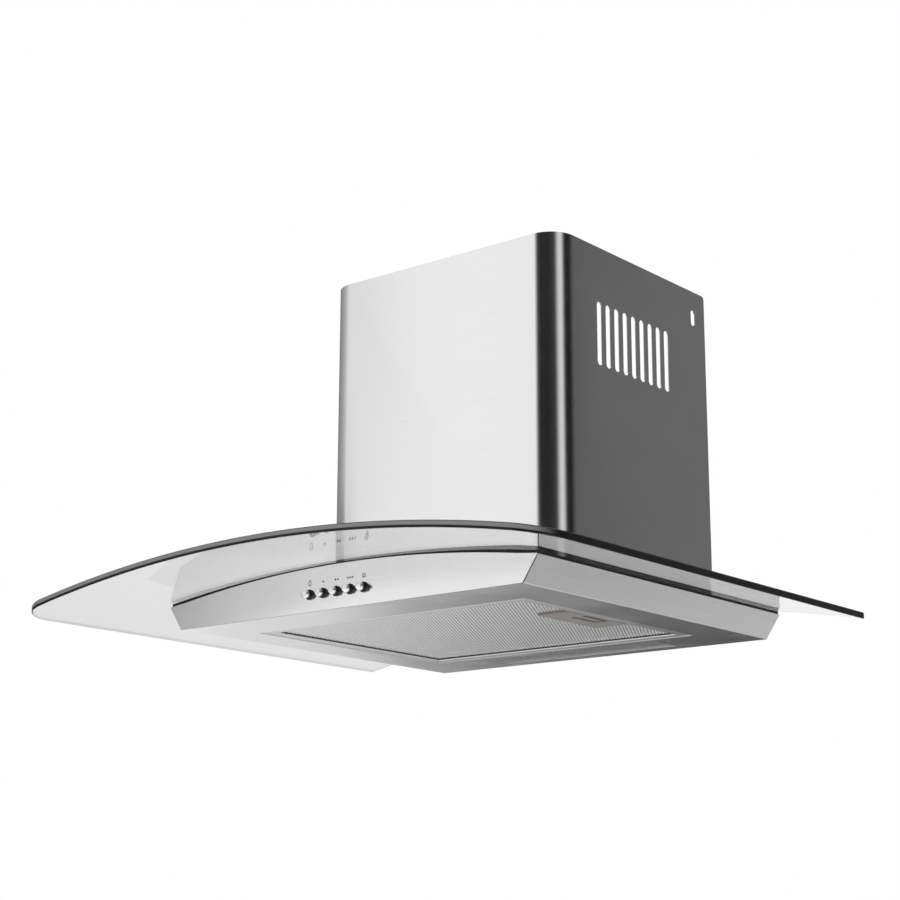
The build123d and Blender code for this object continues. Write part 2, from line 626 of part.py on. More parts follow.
def make_glass_fixings():
    """Screws, rubber bushes and weld nuts that clamp the glass."""
    screws, bushes, nuts = [], [], []
    for x, y in glass_screw_places():
        place = stack_place(x, y, GLASS_TOP_CROWN, GLASS_TOP_RADIUS)
        gap = arc_z(GLASS_CROWN_Z, GLASS_CURVE_RADIUS, x) - arc_z(*PLATE_TOP, x)
        sleeve = GLASS_THICKNESS + gap - BUSH_FOOT_GAP
        flange_z = BUSH_SEAT_GAP + BUSH_FLANGE_HEIGHT / 2
        bush = Pos(0, 0, flange_z) * Cylinder(BUSH_FLANGE_RADIUS, BUSH_FLANGE_HEIGHT)
        stem = Cylinder(GLASS_HOLE_RADIUS - BUSH_SIDE_GAP, sleeve)
        bush = bush + Pos(0, 0, BUSH_SEAT_GAP - sleeve / 2) * stem
        bush = bush - Cylinder(GLASS_SCREW[0] + SCREW_HOLE_GAP, STACK_CUT)
        nut_top = -(GLASS_THICKNESS + gap + TOP_PLATE_SHEET) - WELD_NUT_GAP
        nut = Pos(0, 0, nut_top - WELD_NUT_HEIGHT / 2) * Cylinder(WELD_NUT_RADIUS, WELD_NUT_HEIGHT)
        nut = nut - Pos(0, 0, nut_top) * Cylinder(GLASS_SCREW[0] + PRESS_GAP, STACK_CUT)
        head = BUSH_SEAT_GAP + BUSH_FLANGE_HEIGHT
        length = head - nut_top + WELD_NUT_HEIGHT - WELD_NUT_TAIL
        screws.append(place * Pos(0, 0, head) * screw(GLASS_SCREW, length))
        bushes.append(place * bush)
        nuts.append(place * nut)
    return Compound(children=screws), Compound(children=bushes), Compound(children=nuts)


# ---------------------------------------------------------------- chimney cover
def make_chimney_cover():
    half, depth, radius, sheet = CHIMNEY_WIDTH / 2, CHIMNEY_DEPTH, CHIMNEY_CORNER_RADIUS, CHIMNEY_SHEET
    height = CHIMNEY_TOP_Z

    def profile(inset, back):
        solid = block((-half + inset, half - inset), (-depth + inset, back), (0, height))
        return fillet(solid.edges().filter_by(Axis.Z).group_by(Axis.Y)[0], radius - inset)

    cover = profile(0, 0) - profile(sheet, -sheet)
    cover = cover - block((-half + sheet, half - sheet), (-depth / 2, -sheet), (-1, height + 1))
    gap = half - CHIMNEY_RETURN
    cover = cover - block((-gap, gap), (-sheet - 1, 1), (-1, height + 1))
    inner = (-half + sheet, half - sheet)
    cover = cover - block(inner, (-sheet, 1), (CHIMNEY_RETURN_TOP_Z, height + 1))
    seat = GLASS_TOP_CROWN + CHIMNEY_SEAT_GAP
    cover = cover - below_arc(seat, GLASS_TOP_RADIUS, half + 10, (-depth - 1, 1))
    nose = CHIMNEY_NOSE_RADIUS
    corner = block((-half - 1, half + 1), (-nose, 1), (height - nose, height + 1))
    cover = cover - (corner - rod("x", nose, (-half - 2, half + 2), (-nose, height - nose)))
    through = (-half - 1, half + 1)
    for index in range(VENT_COUNT):
        y = VENT_CENTRE_Y + (index - (VENT_COUNT - 1) / 2) * VENT_PITCH
        cover = cover - slot_cutter("x", VENT_WIDTH, VENT_LENGTH, through, (y, VENT_CENTRE_Z))
    return cover - slot_cutter("x", HANG_SLOT_WIDTH, HANG_SLOT_LENGTH, through, (HANG_SLOT_Y, HANG_SLOT_Z))


def make_chimney_brackets():
    """Z brackets from the blower box to the chimney's sides, and their screws."""
    wall = BOX_WIDTH / 2
    side = CHIMNEY_WIDTH / 2 - CHIMNEY_SHEET
    y = (BRACKET_Y - BRACKET_WIDTH / 2, BRACKET_Y + BRACKET_WIDTH / 2)
    z = (BRACKET_Z, BRACKET_Z + BRACKET_HEIGHT)
    bracket = block((wall, wall + BRACKET_SHEET), y, z)
    bracket = bracket + block((wall, side), y, (z[0], z[0] + BRACKET_SHEET))
    bracket = bracket + block((side - BRACKET_SHEET, side), y, z)
    hole_z = (z[0] + z[1]) / 2
    through = (wall - 1, wall + BRACKET_SHEET + 1)
    hole = rod("x", SHEET_SCREW[0] + SCREW_HOLE_GAP, through, (BRACKET_Y, hole_z))
    bracket = bracket - hole
    place = Pos(wall + BRACKET_SHEET, BRACKET_Y, hole_z) * Rot(0, 90, 0)
    fixing = place * screw(SHEET_SCREW, BRACKET_SHEET + BOX_SHEET + SCREW_TAIL)
    return Compound(children=both_sides(bracket)), Compound(children=both_sides(fixing))


# ---------------------------------------------------------------- blower box
def scroll_screw_places():
    """Screws through the box's top into the scroll's outlet flange, as (x, y)."""
    x = SCROLL_WIDTH / 2 + SCROLL_FLANGE - SCROLL_SCREW_INSET[0]
    front, rear = scroll_mouth()
    return [(side * x, y) for side in (-1, 1) for y in shrunk((front, rear), SCROLL_SCREW_INSET[1])]


def scroll_mouth():
    """Outer front and rear faces of the scroll's outlet, as a (y, y) pair."""
    front = FAN_Y + SCROLL_RADII[0] - SCROLL_RADII[1] - SCROLL_RADII[2] - SCROLL_WALL
    return front, FAN_Y + SCROLL_TONGUE + SCROLL_WALL


def collar_screw_places():
    """Screws through the collar's flange, as (x, y)."""
    radius = (COLLAR_RADIUS + COLLAR_FLANGE_RADIUS) / 2
    turns = [radians(angle) for angle in (15, 165, 195, 345)]
    return [(radius * cos(turn), COLLAR_Y + radius * sin(turn)) for turn in turns]


def make_blower_box():
    half, depth, sheet = BOX_WIDTH / 2, BOX_DEPTH, BOX_SHEET
    box = block((-half, half), (-depth, 0), (0, BOX_TOP_Z))
    box = box - block((-half + sheet, half - sheet), (-depth + sheet, -sheet), (-1, BOX_TOP_Z - sheet))
    box = box - below_arc(*PLATE_TOP, half + 10, (-depth - 1, 1))
    rim = block((-half, half), (-depth, 0), (0, FAR))
    air_x, air_y = air_hole()
    rim = rim - block(air_x, air_y, (-1, FAR + 1))
    flange = arched_slab(PLATE_TOP, (PLATE_TOP[0] + sheet, PLATE_TOP[1] + sheet), half, (-depth, 0)) & rim
    box = box + flange
    top = (BOX_TOP_Z - sheet - 1, BOX_TOP_Z + 1)
    box = box - rod("z", COLLAR_RADIUS - COLLAR_WALL - LEDGE_WIDTH, top, (0, COLLAR_Y))
    for place in scroll_screw_places() + collar_screw_places():
        box = box - rod("z", SHEET_SCREW[0] + SCREW_HOLE_GAP, top, place)
    for place in box_screw_places():
        box = box - stack_place(*place, *PLATE_TOP) * Cylinder(SHEET_SCREW[0] + SCREW_HOLE_GAP, SHEET_CUT)
    rear = (-sheet - 1, 1)
    for side in (-1, 1):
        x = side * KEYHOLE_SPACING / 2
        box = box - rod("y", KEYHOLE_HEAD_RADIUS, rear, (x, KEYHOLE_Z))
        box = box - rod("y", KEYHOLE_SLOT_RADIUS, rear, (x, KEYHOLE_Z + KEYHOLE_RISE))
        neck = (x - KEYHOLE_SLOT_RADIUS, x + KEYHOLE_SLOT_RADIUS)
        box = box - block(neck, rear, (KEYHOLE_Z, KEYHOLE_Z + KEYHOLE_RISE))
        box = box - rod("y", LOCK_HOLE_RADIUS, rear, (x, LOCK_HOLE_Z))
        wall = (side * half - sheet - 1, side * half + sheet + 1)
        hole_z = BRACKET_Z + BRACKET_HEIGHT / 2
        box = box - rod("x", SHEET_SCREW[0] + SCREW_HOLE_GAP, wall, (BRACKET_Y, hole_z))
    wire_hole = rod("z", WIRE_HOLE_RADIUS, top, (TERMINAL_X, TERMINAL_Y))
    return box - wire_hole


def make_box_screws():
    screws = []
    for x, y in box_screw_places():
        place = stack_place(x, y, *PLATE_TOP) * Pos(0, 0, BOX_SHEET + HEAD_GAP)
        screws.append(place * screw(SHEET_SCREW, BOX_SHEET + TOP_PLATE_SHEET + SCREW_TAIL))
    return Compound(children=screws)


# ---------------------------------------------------------------- scroll, impeller, motor
def scroll_face(grow):
    """Side view of the scroll, grown by a wall's thickness."""
    rear, bottom, front = (radius + grow for radius in SCROLL_RADII)
    tongue = SCROLL_TONGUE + grow
    start = degrees(acos(tongue / rear))
    top = BOX_TOP_Z - BOX_SHEET
    first = CenterArc((FAN_Y, FAN_Z), rear, start, -start)
    shift = SCROLL_RADII[1] - SCROLL_RADII[0]
    second = CenterArc((FAN_Y - shift, FAN_Z), bottom, 0, -90)
    rise = SCROLL_RADII[2] - SCROLL_RADII[1]
    third = CenterArc((FAN_Y - shift, FAN_Z + rise), front, -90, -90)
    walls = [
        Line(third @ 1, ((third @ 1).X, top)),
        Line(((third @ 1).X, top), (FAN_Y + tongue, top)),
        Line((FAN_Y + tongue, top), first @ 0),
    ]
    return make_face([first, second, third] + walls)


def make_scroll():
    half, wall = SCROLL_WIDTH / 2, SCROLL_WALL
    outer = extrude(side_plane(-half) * scroll_face(wall), SCROLL_WIDTH)
    inner = extrude(side_plane(-half + wall) * scroll_face(0), SCROLL_WIDTH - 2 * wall)
    top = BOX_TOP_Z - BOX_SHEET
    front, rear = scroll_mouth()
    lip = block((-half - SCROLL_FLANGE, half + SCROLL_FLANGE), (front, rear), (top - wall, top))
    mouth = block((-half + wall, half - wall), (front + wall, rear - wall), (top - 2 * wall, top + 1))
    scroll = outer + lip - inner - mouth
    scroll = scroll - rod("x", SCROLL_INLET_RADIUS, (-half - 1, half + 1), (FAN_Y, FAN_Z))
    for turn in mount_turns():
        at = (FAN_Y + MOUNT_CIRCLE * cos(turn), FAN_Z + MOUNT_CIRCLE * sin(turn))
        scroll = scroll - rod("x", SMALL_SCREW[0] + SCREW_HOLE_GAP, (-half - 1, -half + wall + 1), at)
    for place in scroll_screw_places():
        scroll = scroll - rod("z", SHEET_SCREW[0] + SCREW_HOLE_GAP, (top - wall - 1, top + 1), place)
    left = scroll & block((-FAR, 0), (-FAR, FAR), (-FAR, FAR))
    right = scroll & block((0, FAR), (-FAR, FAR), (-FAR, FAR))
    return left, right


def mount_turns():
    """Angles of the motor's three mounts round the shaft."""
    return [radians(angle) for angle in (90, 210, 330)]


def make_fan_screws():
    """Screws of the scroll, the collar and the motor's mounts."""
    screws = []
    for x, y in scroll_screw_places():
        screws.append(Pos(x, y, BOX_TOP_Z - BOX_SHEET - SCROLL_WALL) * Rot(180, 0, 0)
                      * screw(SHEET_SCREW, BOX_SHEET + SCROLL_WALL - HEAD_GAP))
    for x, y in collar_screw_places():
        screws.append(Pos(x, y, BOX_TOP_Z + COLLAR_FLANGE_SHEET)
                      * screw(SHEET_SCREW, COLLAR_FLANGE_SHEET + BOX_SHEET + SCREW_TAIL))
    left = motor_span()[0] - SPIDER_SHEET
    for turn in mount_turns():
        place = Pos(left, FAN_Y + MOUNT_CIRCLE * cos(turn), FAN_Z + MOUNT_CIRCLE * sin(turn))
        screws.append(place * Rot(0, -90, 0) * screw(SMALL_SCREW, -SCROLL_WIDTH / 2 + SCROLL_WALL - left))
    return Compound(children=screws)


def make_impeller():
    at = (FAN_Y, FAN_Z)
    half, sheet = IMPELLER_WIDTH / 2, IMPELLER_SHEET
    hub = rod("x", HUB_RADIUS, (-sheet, HUB_LENGTH), at)
    disc = rod("x", IMPELLER_RADIUS, (-sheet / 2, sheet / 2), at)
    inner = IMPELLER_RADIUS - BLADE_CHORD
    pieces = [disc]
    for end in ((-half, -half + sheet), (half - sheet, half)):
        pieces.append(tube("x", IMPELLER_RADIUS, inner, end, at))
    middle = IMPELLER_RADIUS - BLADE_CHORD / 2
    for index in range(BLADE_COUNT):
        flat = Box(BLADE_CHORD - BLADE_TRIM, BLADE_THICKNESS, 2 * half - sheet)
        blade = Pos(middle - BLADE_SHIFT, 0, 0) * Rot(0, 0, BLADE_ANGLE) * flat
        turned = Rot(0, 90, 0) * Rot(0, 0, index * 360 / BLADE_COUNT) * blade
        pieces.append(Pos(0, FAN_Y, FAN_Z) * turned)
    wheel = hub.fuse(*pieces)
    return wheel - rod("x", SHAFT_RADIUS + PRESS_GAP, (-10, HUB_LENGTH + 1), at)


def motor_span():
    """The motor can's ends along X."""
    right = -MOTOR_HUB_GAP
    return right - MOTOR_LENGTH, right


def make_motor():
    at = (FAN_Y, FAN_Z)
    left, right = motor_span()
    can = rod("x", MOTOR_RADIUS, (left, right), at)
    can = fillet(can.edges(), MOTOR_EDGE_RADIUS)
    end = right + MOTOR_BOSS_HEIGHT
    can = can + rod("x", MOTOR_BOSS_RADIUS, (left, end), at)
    can = can - rod("x", SHAFT_RADIUS + MOTOR_BORE_GAP, (left - 1, end + 1), at)
    pockets = [(left - 1, left + BEARING_WIDTH), (end - BEARING_WIDTH, end + 1)]
    for pocket in pockets:
        can = can - rod("x", BEARING_RADIUS + PRESS_GAP, pocket, at)
    circle = MOTOR_RADIUS - MOTOR_VENT_INSET
    for index in range(MOTOR_VENT_COUNT):
        turn = radians((index + 0.5) * 360 / MOTOR_VENT_COUNT)
        place = (FAN_Y + circle * cos(turn), FAN_Z + circle * sin(turn))
        can = can - rod("x", MOTOR_VENT_RADIUS, (right - MOTOR_VENT_DEPTH, end + 1), place)
    shaft_inner = SHAFT_RADIUS + SHAFT_CLEARANCE
    ends = [(left, left + BEARING_WIDTH), (end - BEARING_WIDTH, end)]
    bearings = Compound(children=[tube("x", BEARING_RADIUS, shaft_inner, span, at) for span in ends])
    shaft = rod("x", SHAFT_RADIUS, (left - SHAFT_TAILS[0], HUB_LENGTH + SHAFT_TAILS[1]), at)
    return can, bearings, shaft


def make_motor_spider():
    """Three-armed plate behind the motor, and the rubber mounts that carry it on the scroll."""
    left = motor_span()[0]
    span = (left - SPIDER_SHEET, left)
    at = (FAN_Y, FAN_Z)
    plate = rod("x", SPIDER_HUB_RADIUS, span, at)
    mounts = []
    for turn in mount_turns():
        arm = block((span[0], span[1]), (0, MOUNT_CIRCLE), (-SPIDER_ARM / 2, SPIDER_ARM / 2))
        plate = plate + Pos(0, FAN_Y, FAN_Z) * Rot(degrees(turn), 0, 0) * arm
        place = (FAN_Y + MOUNT_CIRCLE * cos(turn), FAN_Z + MOUNT_CIRCLE * sin(turn))
        plate = plate + rod("x", SPIDER_ARM / 2 + SPIDER_EYE, span, place)
        hole = rod("x", SMALL_SCREW[0] + SCREW_HOLE_GAP, (span[0] - 1, -SCROLL_WIDTH / 2 + 1), place)
        plate = plate - hole
        mounts.append(rod("x", MOUNT_RADIUS, (span[1], -SCROLL_WIDTH / 2), place) - hole)
    plate = plate - rod("x", SHAFT_RADIUS + SPIDER_BORE_GAP, (span[0] - 1, span[1] + 1), at)
    return plate, Compound(children=mounts)


# ---------------------------------------------------------------- duct collar and damper
def make_duct_collar():
    at = (0, COLLAR_Y)
    flange_top = BOX_TOP_Z + COLLAR_FLANGE_SHEET
    inner = COLLAR_RADIUS - COLLAR_WALL
    collar = rod("z", COLLAR_FLANGE_RADIUS, (BOX_TOP_Z, flange_top), at)
    collar = collar + rod("z", COLLAR_RADIUS, (BOX_TOP_Z, COLLAR_TOP_Z), at)
    collar = collar - rod("z", inner, (BOX_TOP_Z - 1, COLLAR_TOP_Z + 1), at)
    ledge = tube("z", inner + 0.5, inner - LEDGE_WIDTH, (LEDGE_Z - LEDGE_SHEET, LEDGE_Z), at)
    collar = collar + ledge
    axle_at = (COLLAR_Y, axle_z())
    collar = collar - rod("x", AXLE_RADIUS + PRESS_GAP, (-COLLAR_RADIUS - 1, COLLAR_RADIUS + 1), axle_at)
    for place in collar_screw_places():
        collar = collar - rod("z", SHEET_SCREW[0] + SCREW_HOLE_GAP, (BOX_TOP_Z - 1, flange_top + 1), place)
    return collar


def axle_z():
    """Height of the damper's axle."""
    return LEDGE_Z + FLAP_SEAT_GAP + FLAP_SHEET + AXLE_RISE


def make_damper_axle():
    return rod("x", AXLE_RADIUS, (-COLLAR_RADIUS + 0.2, COLLAR_RADIUS - 0.2), (COLLAR_Y, axle_z()))


def make_damper_flap(side, knuckle_starts):
    """Half-round flap: side is -1 for the one nearer the room, 1 for the one nearer the wall."""
    radius = COLLAR_RADIUS - COLLAR_WALL - FLAP_GAP
    low = LEDGE_Z + FLAP_SEAT_GAP
    inner_edge = KNUCKLE_RADIUS + KNUCKLE_GAP
    disc = rod("z", radius, (low, low + FLAP_SHEET), (0, COLLAR_Y))
    edges = sorted((COLLAR_Y + side * inner_edge, COLLAR_Y + side * (radius + 1)))
    flap = disc & block((-radius - 1, radius + 1), edges, (low - 1, low + FLAP_SHEET + 1))
    for start in knuckle_starts:
        span = (start, start + KNUCKLE_LENGTH)
        neck_y = sorted((COLLAR_Y, COLLAR_Y + side * (inner_edge + 1)))
        flap = flap + block(span, neck_y, (low, low + FLAP_SHEET))
        flap = flap + rod("x", KNUCKLE_RADIUS, span, (COLLAR_Y, axle_z()))
        flap = flap + block(span, sorted((COLLAR_Y, COLLAR_Y + side * KNUCKLE_WEB)), (low, axle_z()))
    bore = rod("x", AXLE_RADIUS + SHAFT_CLEARANCE, (-COLLAR_RADIUS, COLLAR_RADIUS), (COLLAR_Y, axle_z()))
    return flap - bore


# ---------------------------------------------------------------- push buttons
def switch_front():
    """Front face of the switch block."""
    return SHELL_FRONT_Y + BODY_SHEET + SWITCH_GAP


def make_button(index):
    x = button_x(index)
    tip = -BODY_DEPTH - BUTTON_PROUD
    tail = switch_front() + BUTTON_TAIL
    cap = rod("y", BUTTON_RADIUS, (tip, tail), (x, BUTTON_Z))
    cap = fillet(cap.edges().group_by(Axis.Y)[0], BUTTON_NOSE)
    return cap + rod("y", STEM_RADIUS, (tail - 1, switch_front() + SWITCH_DEPTH + STEM_TAIL), (x, BUTTON_Z))


def make_button_spring(index):
    start = switch_front() + BUTTON_TAIL + SPRING_END_GAP
    room = SWITCH_CAVITY - BUTTON_TAIL - 2 * SPRING_END_GAP
    return Pos(button_x(index), start, BUTTON_Z) * Rot(-90, 0, 0) * coil_spring(room, BUTTON_SPRING_RADIUS)


def coil_spring(room, radius):
    """Open coil that stands on Z = 0 and fills the room over it."""
    height = room - 2 * SPRING_WIRE
    path = Helix(pitch=height / SPRING_TURNS, height=height, radius=radius)
    ring = Plane(path @ 0, z_dir=path % 0) * Circle(SPRING_WIRE / 2)
    return Pos(0, 0, SPRING_WIRE) * sweep(ring, path=path, is_frenet=True)


def make_switch_block():
    half = len(BUTTON_NAMES) * BUTTON_PITCH / 2
    front = switch_front()
    y = (front, front + SWITCH_DEPTH)
    z = (BUTTON_Z - SWITCH_HEIGHT / 2, BUTTON_Z + SWITCH_HEIGHT / 2)
    body = block((BUTTON_CENTRE_X - half, BUTTON_CENTRE_X + half), y, z)
    ears = (BUTTON_CENTRE_X - half - SWITCH_EAR, BUTTON_CENTRE_X + half + SWITCH_EAR)
    half_ear = SWITCH_EAR_HEIGHT / 2
    body = body + block(ears, (front, front + SWITCH_EAR_SHEET), (BUTTON_Z - half_ear, BUTTON_Z + half_ear))
    thin, wide, long = SWITCH_TAB
    for index in range(len(BUTTON_NAMES)):
        at = (button_x(index), BUTTON_Z)
        body = body - rod("y", BUTTON_RADIUS + SWITCH_BORE_GAP, (front - 1, front + SWITCH_CAVITY), at)
        body = body - rod("y", STEM_RADIUS + BUTTON_CLEARANCE, (front, y[1] + 1), at)
        for z_middle in (BUTTON_Z - SWITCH_TAB_RISE, BUTTON_Z + SWITCH_TAB_RISE):
            tab_x = (at[0] - thin / 2, at[0] + thin / 2)
            tab_z = (z_middle - wide / 2, z_middle + wide / 2)
            body = body + block(tab_x, (y[1] - thin, y[1] + long), tab_z)
    screws = []
    for x in switch_ear_places():
        hole = (front - 1, front + SWITCH_EAR_SHEET + 1)
        body = body - rod("y", SMALL_SCREW[0] + SCREW_HOLE_GAP, hole, (x, BUTTON_Z))
        place = Pos(x, front + SWITCH_EAR_SHEET, BUTTON_Z) * Rot(-90, 0, 0)
        screws.append(place * screw(SMALL_SCREW, SWITCH_EAR_SHEET + SWITCH_GAP + BODY_SHEET))
    return body, Compound(children=screws)


def make_button_bezels():
    rings = []
    for index in range(len(BUTTON_NAMES)):
        at = (button_x(index), BUTTON_Z)
        front = -BODY_DEPTH - BEZEL_PROUD
        ring = rod("y", BEZEL_RADIUS, (front, -BODY_DEPTH), at)
        ring = chamfer(ring.edges().group_by(Axis.Y)[0], BEZEL_CHAMFER)
        ring = ring + rod("y", BEZEL_SLEEVE_RADIUS, (front + BEZEL_CHAMFER, SHELL_FRONT_Y + BODY_SHEET), at)
        bore = rod("y", BUTTON_RADIUS + BUTTON_CLEARANCE, (front - 1, SHELL_FRONT_Y + BODY_SHEET + 1), at)
        rings.append(ring - bore)
    return Compound(children=rings)


# ---------------------------------------------------------------- grease filter
def filter_sides():
    """Outer edges of the cassette, as (x, y, z) pairs."""
    half_x, half_y = FILTER_WIDTH / 2, FILTER_DEPTH / 2
    return ((-half_x, half_x), (FILTER_CENTRE_Y - half_y, FILTER_CENTRE_Y + half_y),
            (FILTER_Z, FILTER_Z + FILTER_HEIGHT))


def pivot_axis():
    """Hinge line of the filter, as (x, z)."""
    return -FILTER_WIDTH / 2 + PIVOT_INSET, FILTER_Z + PIVOT_RISE


def slider_levels():
    """Underside and top of the latch's slider."""
    low = BODY_SHEET + BOLT_CLEARANCE
    return low, low + SLIDER_SHEET


def make_filter_frame():
    x, y, z = filter_sides()
    sheet = FILTER_SHEET
    frame = block(x, y, z) - block(shrunk(x, sheet), shrunk(y, sheet), shrunk(z, sheet))
    frame = frame - block(shrunk(x, FILTER_LIP), shrunk(y, FILTER_LIP), shrunk(z, -1))
    rest_z = (z[0] + sheet, MESH_Z - MESH_GAP)
    rest = block(shrunk(x, MESH_REST[0]), shrunk(y, MESH_REST[0]), rest_z)
    rest = rest - block(shrunk(x, MESH_REST[1]), shrunk(y, MESH_REST[1]), shrunk(rest_z, -1))
    handle_y = handle_sides()[1]
    frame = frame + (rest - block((0, FAR), shrunk(handle_y, -HANDLE_GAP), shrunk(rest_z, -1)))
    axis_x, axis_z = pivot_axis()
    frame = frame - rod("y", PIVOT_RADIUS + PRESS_GAP, (y[0] - 1, y[1] + 1), (axis_x, axis_z))
    low, high = slider_levels()
    return frame - block((x[1] - 2 * sheet, x[1] + 1), bolt_sides(BOLT_SIDE_GAP),
                         (low - SLIDER_SLOT_GAP, high + SLIDER_SLOT_GAP))


def handle_sides():
    """Outer edges of the handle tray, as (x, y) pairs."""
    right = FILTER_WIDTH / 2 - FILTER_LIP - HANDLE_GAP
    half = HANDLE_LENGTH / 2
    return (right - HANDLE_WIDTH, right), (HANDLE_CENTRE_Y - half, HANDLE_CENTRE_Y + half)


def make_filter_meshes():
    x, y, z = filter_sides()
    handle_x, handle_y = handle_sides()
    pocket = block((handle_x[0] - HANDLE_GAP, FAR), shrunk(handle_y, -HANDLE_GAP), (-1, FAR))
    sheets = []
    for thickness, low in [(MESH_OUTER, MESH_Z)] + inner_layers():
        sheets.append(block(shrunk(x, MESH_INSET), shrunk(y, MESH_INSET), (low, low + thickness)) - pocket)
    return sheets[0], Compound(children=sheets[1:])


def inner_layers():
    """Thickness and underside of each inner mesh layer."""
    first = MESH_Z + MESH_OUTER + MESH_LAYER_GAP
    return [(MESH_LAYER, first + layer * (MESH_LAYER + MESH_LAYER_GAP)) for layer in range(MESH_LAYERS)]


def bolt_sides(gap=0.0):
    """Sides of the latch bolt, as a (y, y) pair."""
    return HANDLE_CENTRE_Y - BOLT_WIDTH / 2 - gap, HANDLE_CENTRE_Y + BOLT_WIDTH / 2 + gap


def slider_sides(gap=0.0):
    """Sides of the latch's slider, as a (y, y) pair."""
    return HANDLE_CENTRE_Y - SLIDER_WIDTH / 2 - gap, HANDLE_CENTRE_Y + SLIDER_WIDTH / 2 + gap


def slider_marks():
    """Left edge of the slider and right edge of its finger bar."""
    tray_x = handle_sides()[0]
    return tray_x[0] + SLIDER_INSET, tray_x[1] - FINGER_BAR_INSET


def make_filter_handle():
    x, y = handle_sides()
    sheet = HANDLE_SHEET
    z = (FILTER_Z, FILTER_Z + HANDLE_HEIGHT)
    tray = block(x, y, z) - block(shrunk(x, sheet), shrunk(y, sheet), (z[0] + sheet, z[1] + 1))
    slot_y = (HANDLE_CENTRE_Y - FINGER_SLOT_LENGTH / 2, HANDLE_CENTRE_Y + FINGER_SLOT_LENGTH / 2)
    slot_x = tuple(x[1] - inset for inset in FINGER_SLOT_INSETS)
    slot = block(slot_x, slot_y, (z[0] - 1, z[0] + sheet + 1))
    tray = tray - fillet(slot.edges().filter_by(Axis.Z), FINGER_SLOT_RADIUS)
    low, high = slider_levels()
    bolt_z = (low - SLIDER_SLOT_GAP / 2, high + BOLT_SIDE_GAP)
    tray = tray - block((x[1] - 2 * sheet, x[1] + 1), bolt_sides(BOLT_SIDE_GAP), bolt_z)
    lip_low = FILTER_Z + FILTER_SHEET + HANDLE_LIP_GAP
    lip_x = (x[1] - sheet, FILTER_WIDTH / 2 - FILTER_SHEET - HANDLE_LIP_GAP * 2)
    gap_y = bolt_sides(HANDLE_LIP_NOTCH)
    for lip_y in ((y[0], gap_y[0]), (gap_y[1], y[1])):
        tray = tray + block(lip_x, lip_y, (lip_low, lip_low + sheet))
    guide_z = (z[0] + sheet, high + SLIDER_SIDE_GAP + GUIDE_HOOK)
    left, bar = slider_marks()
    guide_x = (left + GUIDE_HOOK, bar)
    inner = slider_sides(SLIDER_SIDE_GAP)
    for edge, out in ((inner[0], -1), (inner[1], 1)):
        tray = tray + block(guide_x, sorted((edge, edge + out * GUIDE_WIDTH)), guide_z)
        hook_y = sorted((edge - out * GUIDE_HOOK, edge + out * GUIDE_WIDTH))
        tray = tray + block(guide_x, hook_y, (high + SLIDER_SIDE_GAP, guide_z[1]))
    return tray


def make_latch_slider():
    low, high = slider_levels()
    y = slider_sides()
    left, bar = slider_marks()
    right = handle_sides()[0][1] - HANDLE_SHEET - SLIDER_SIDE_GAP
    plate = block((left, right), y, (low, high))
    window = block((bar, right - SLIDER_RIM), shrunk(y, SLIDER_RIM * 2), (low - 1, high + 1))
    plate = plate - fillet(window.edges().filter_by(Axis.Z), FINGER_SLOT_RADIUS)
    tip = FILTER_WIDTH / 2 + FILTER_GAP + BOLT_ENGAGEMENT
    plate = plate + block((right - SLIDER_RIM, tip), bolt_sides(), (low, high))
    lip_z = (low, low + SLIDER_LIP)
    wall = SLIDER_SHEET
    plate = plate + block((bar - wall, bar), shrunk(y, SLIDER_RIM * 2 + wall), lip_z)
    tail_y = (HANDLE_CENTRE_Y - SLIDER_LIP, HANDLE_CENTRE_Y + SLIDER_LIP)
    return plate + block((left, left + wall), tail_y, lip_z)


def make_latch_spring():
    start = handle_sides()[0][0] + HANDLE_SHEET
    axis_z = slider_levels()[0] + SLIDER_LIP / 2
    coil = coil_spring(slider_marks()[0] - start, LATCH_SPRING_RADIUS)
    return Pos(start, HANDLE_CENTRE_Y, axis_z) * Rot(0, 90, 0) * coil


def make_pivots():
    """Pivot pins on the cassette, and the lugs on the pan that they turn in."""
    x, z = pivot_axis()
    y = filter_sides()[1]
    pins, lugs = [], []
    for edge, out in ((y[0], -1), (y[1], 1)):
        near = edge + out * (FILTER_GAP + LUG_GAP)
        far = near + out * LUG_SHEET
        inner = edge - out * FILTER_SHEET
        pin = rod("y", PIVOT_RADIUS, sorted((inner - out * PIVOT_ROOT, far + out * PIVOT_TAIL)), (x, z))
        head = sorted((inner, inner - out * PIVOT_HEAD_HEIGHT))
        pins.append(pin + rod("y", PIVOT_HEAD_RADIUS, head, (x, z)))
        base = (x - LUG_WIDTH / 2, x + LUG_WIDTH / 2)
        ear = block(base, sorted((near, far)), (BODY_SHEET, z + LUG_RISE))
        foot = block(base, sorted((near, near + out * LUG_FOOT)), (BODY_SHEET, BODY_SHEET + LUG_SHEET))
        bore = rod("y", PIVOT_RADIUS + PIVOT_CLEARANCE, sorted((near - out, far + out)), (x, z))
        lugs.append(ear + foot - bore)
    return Compound(children=pins), Compound(children=lugs)


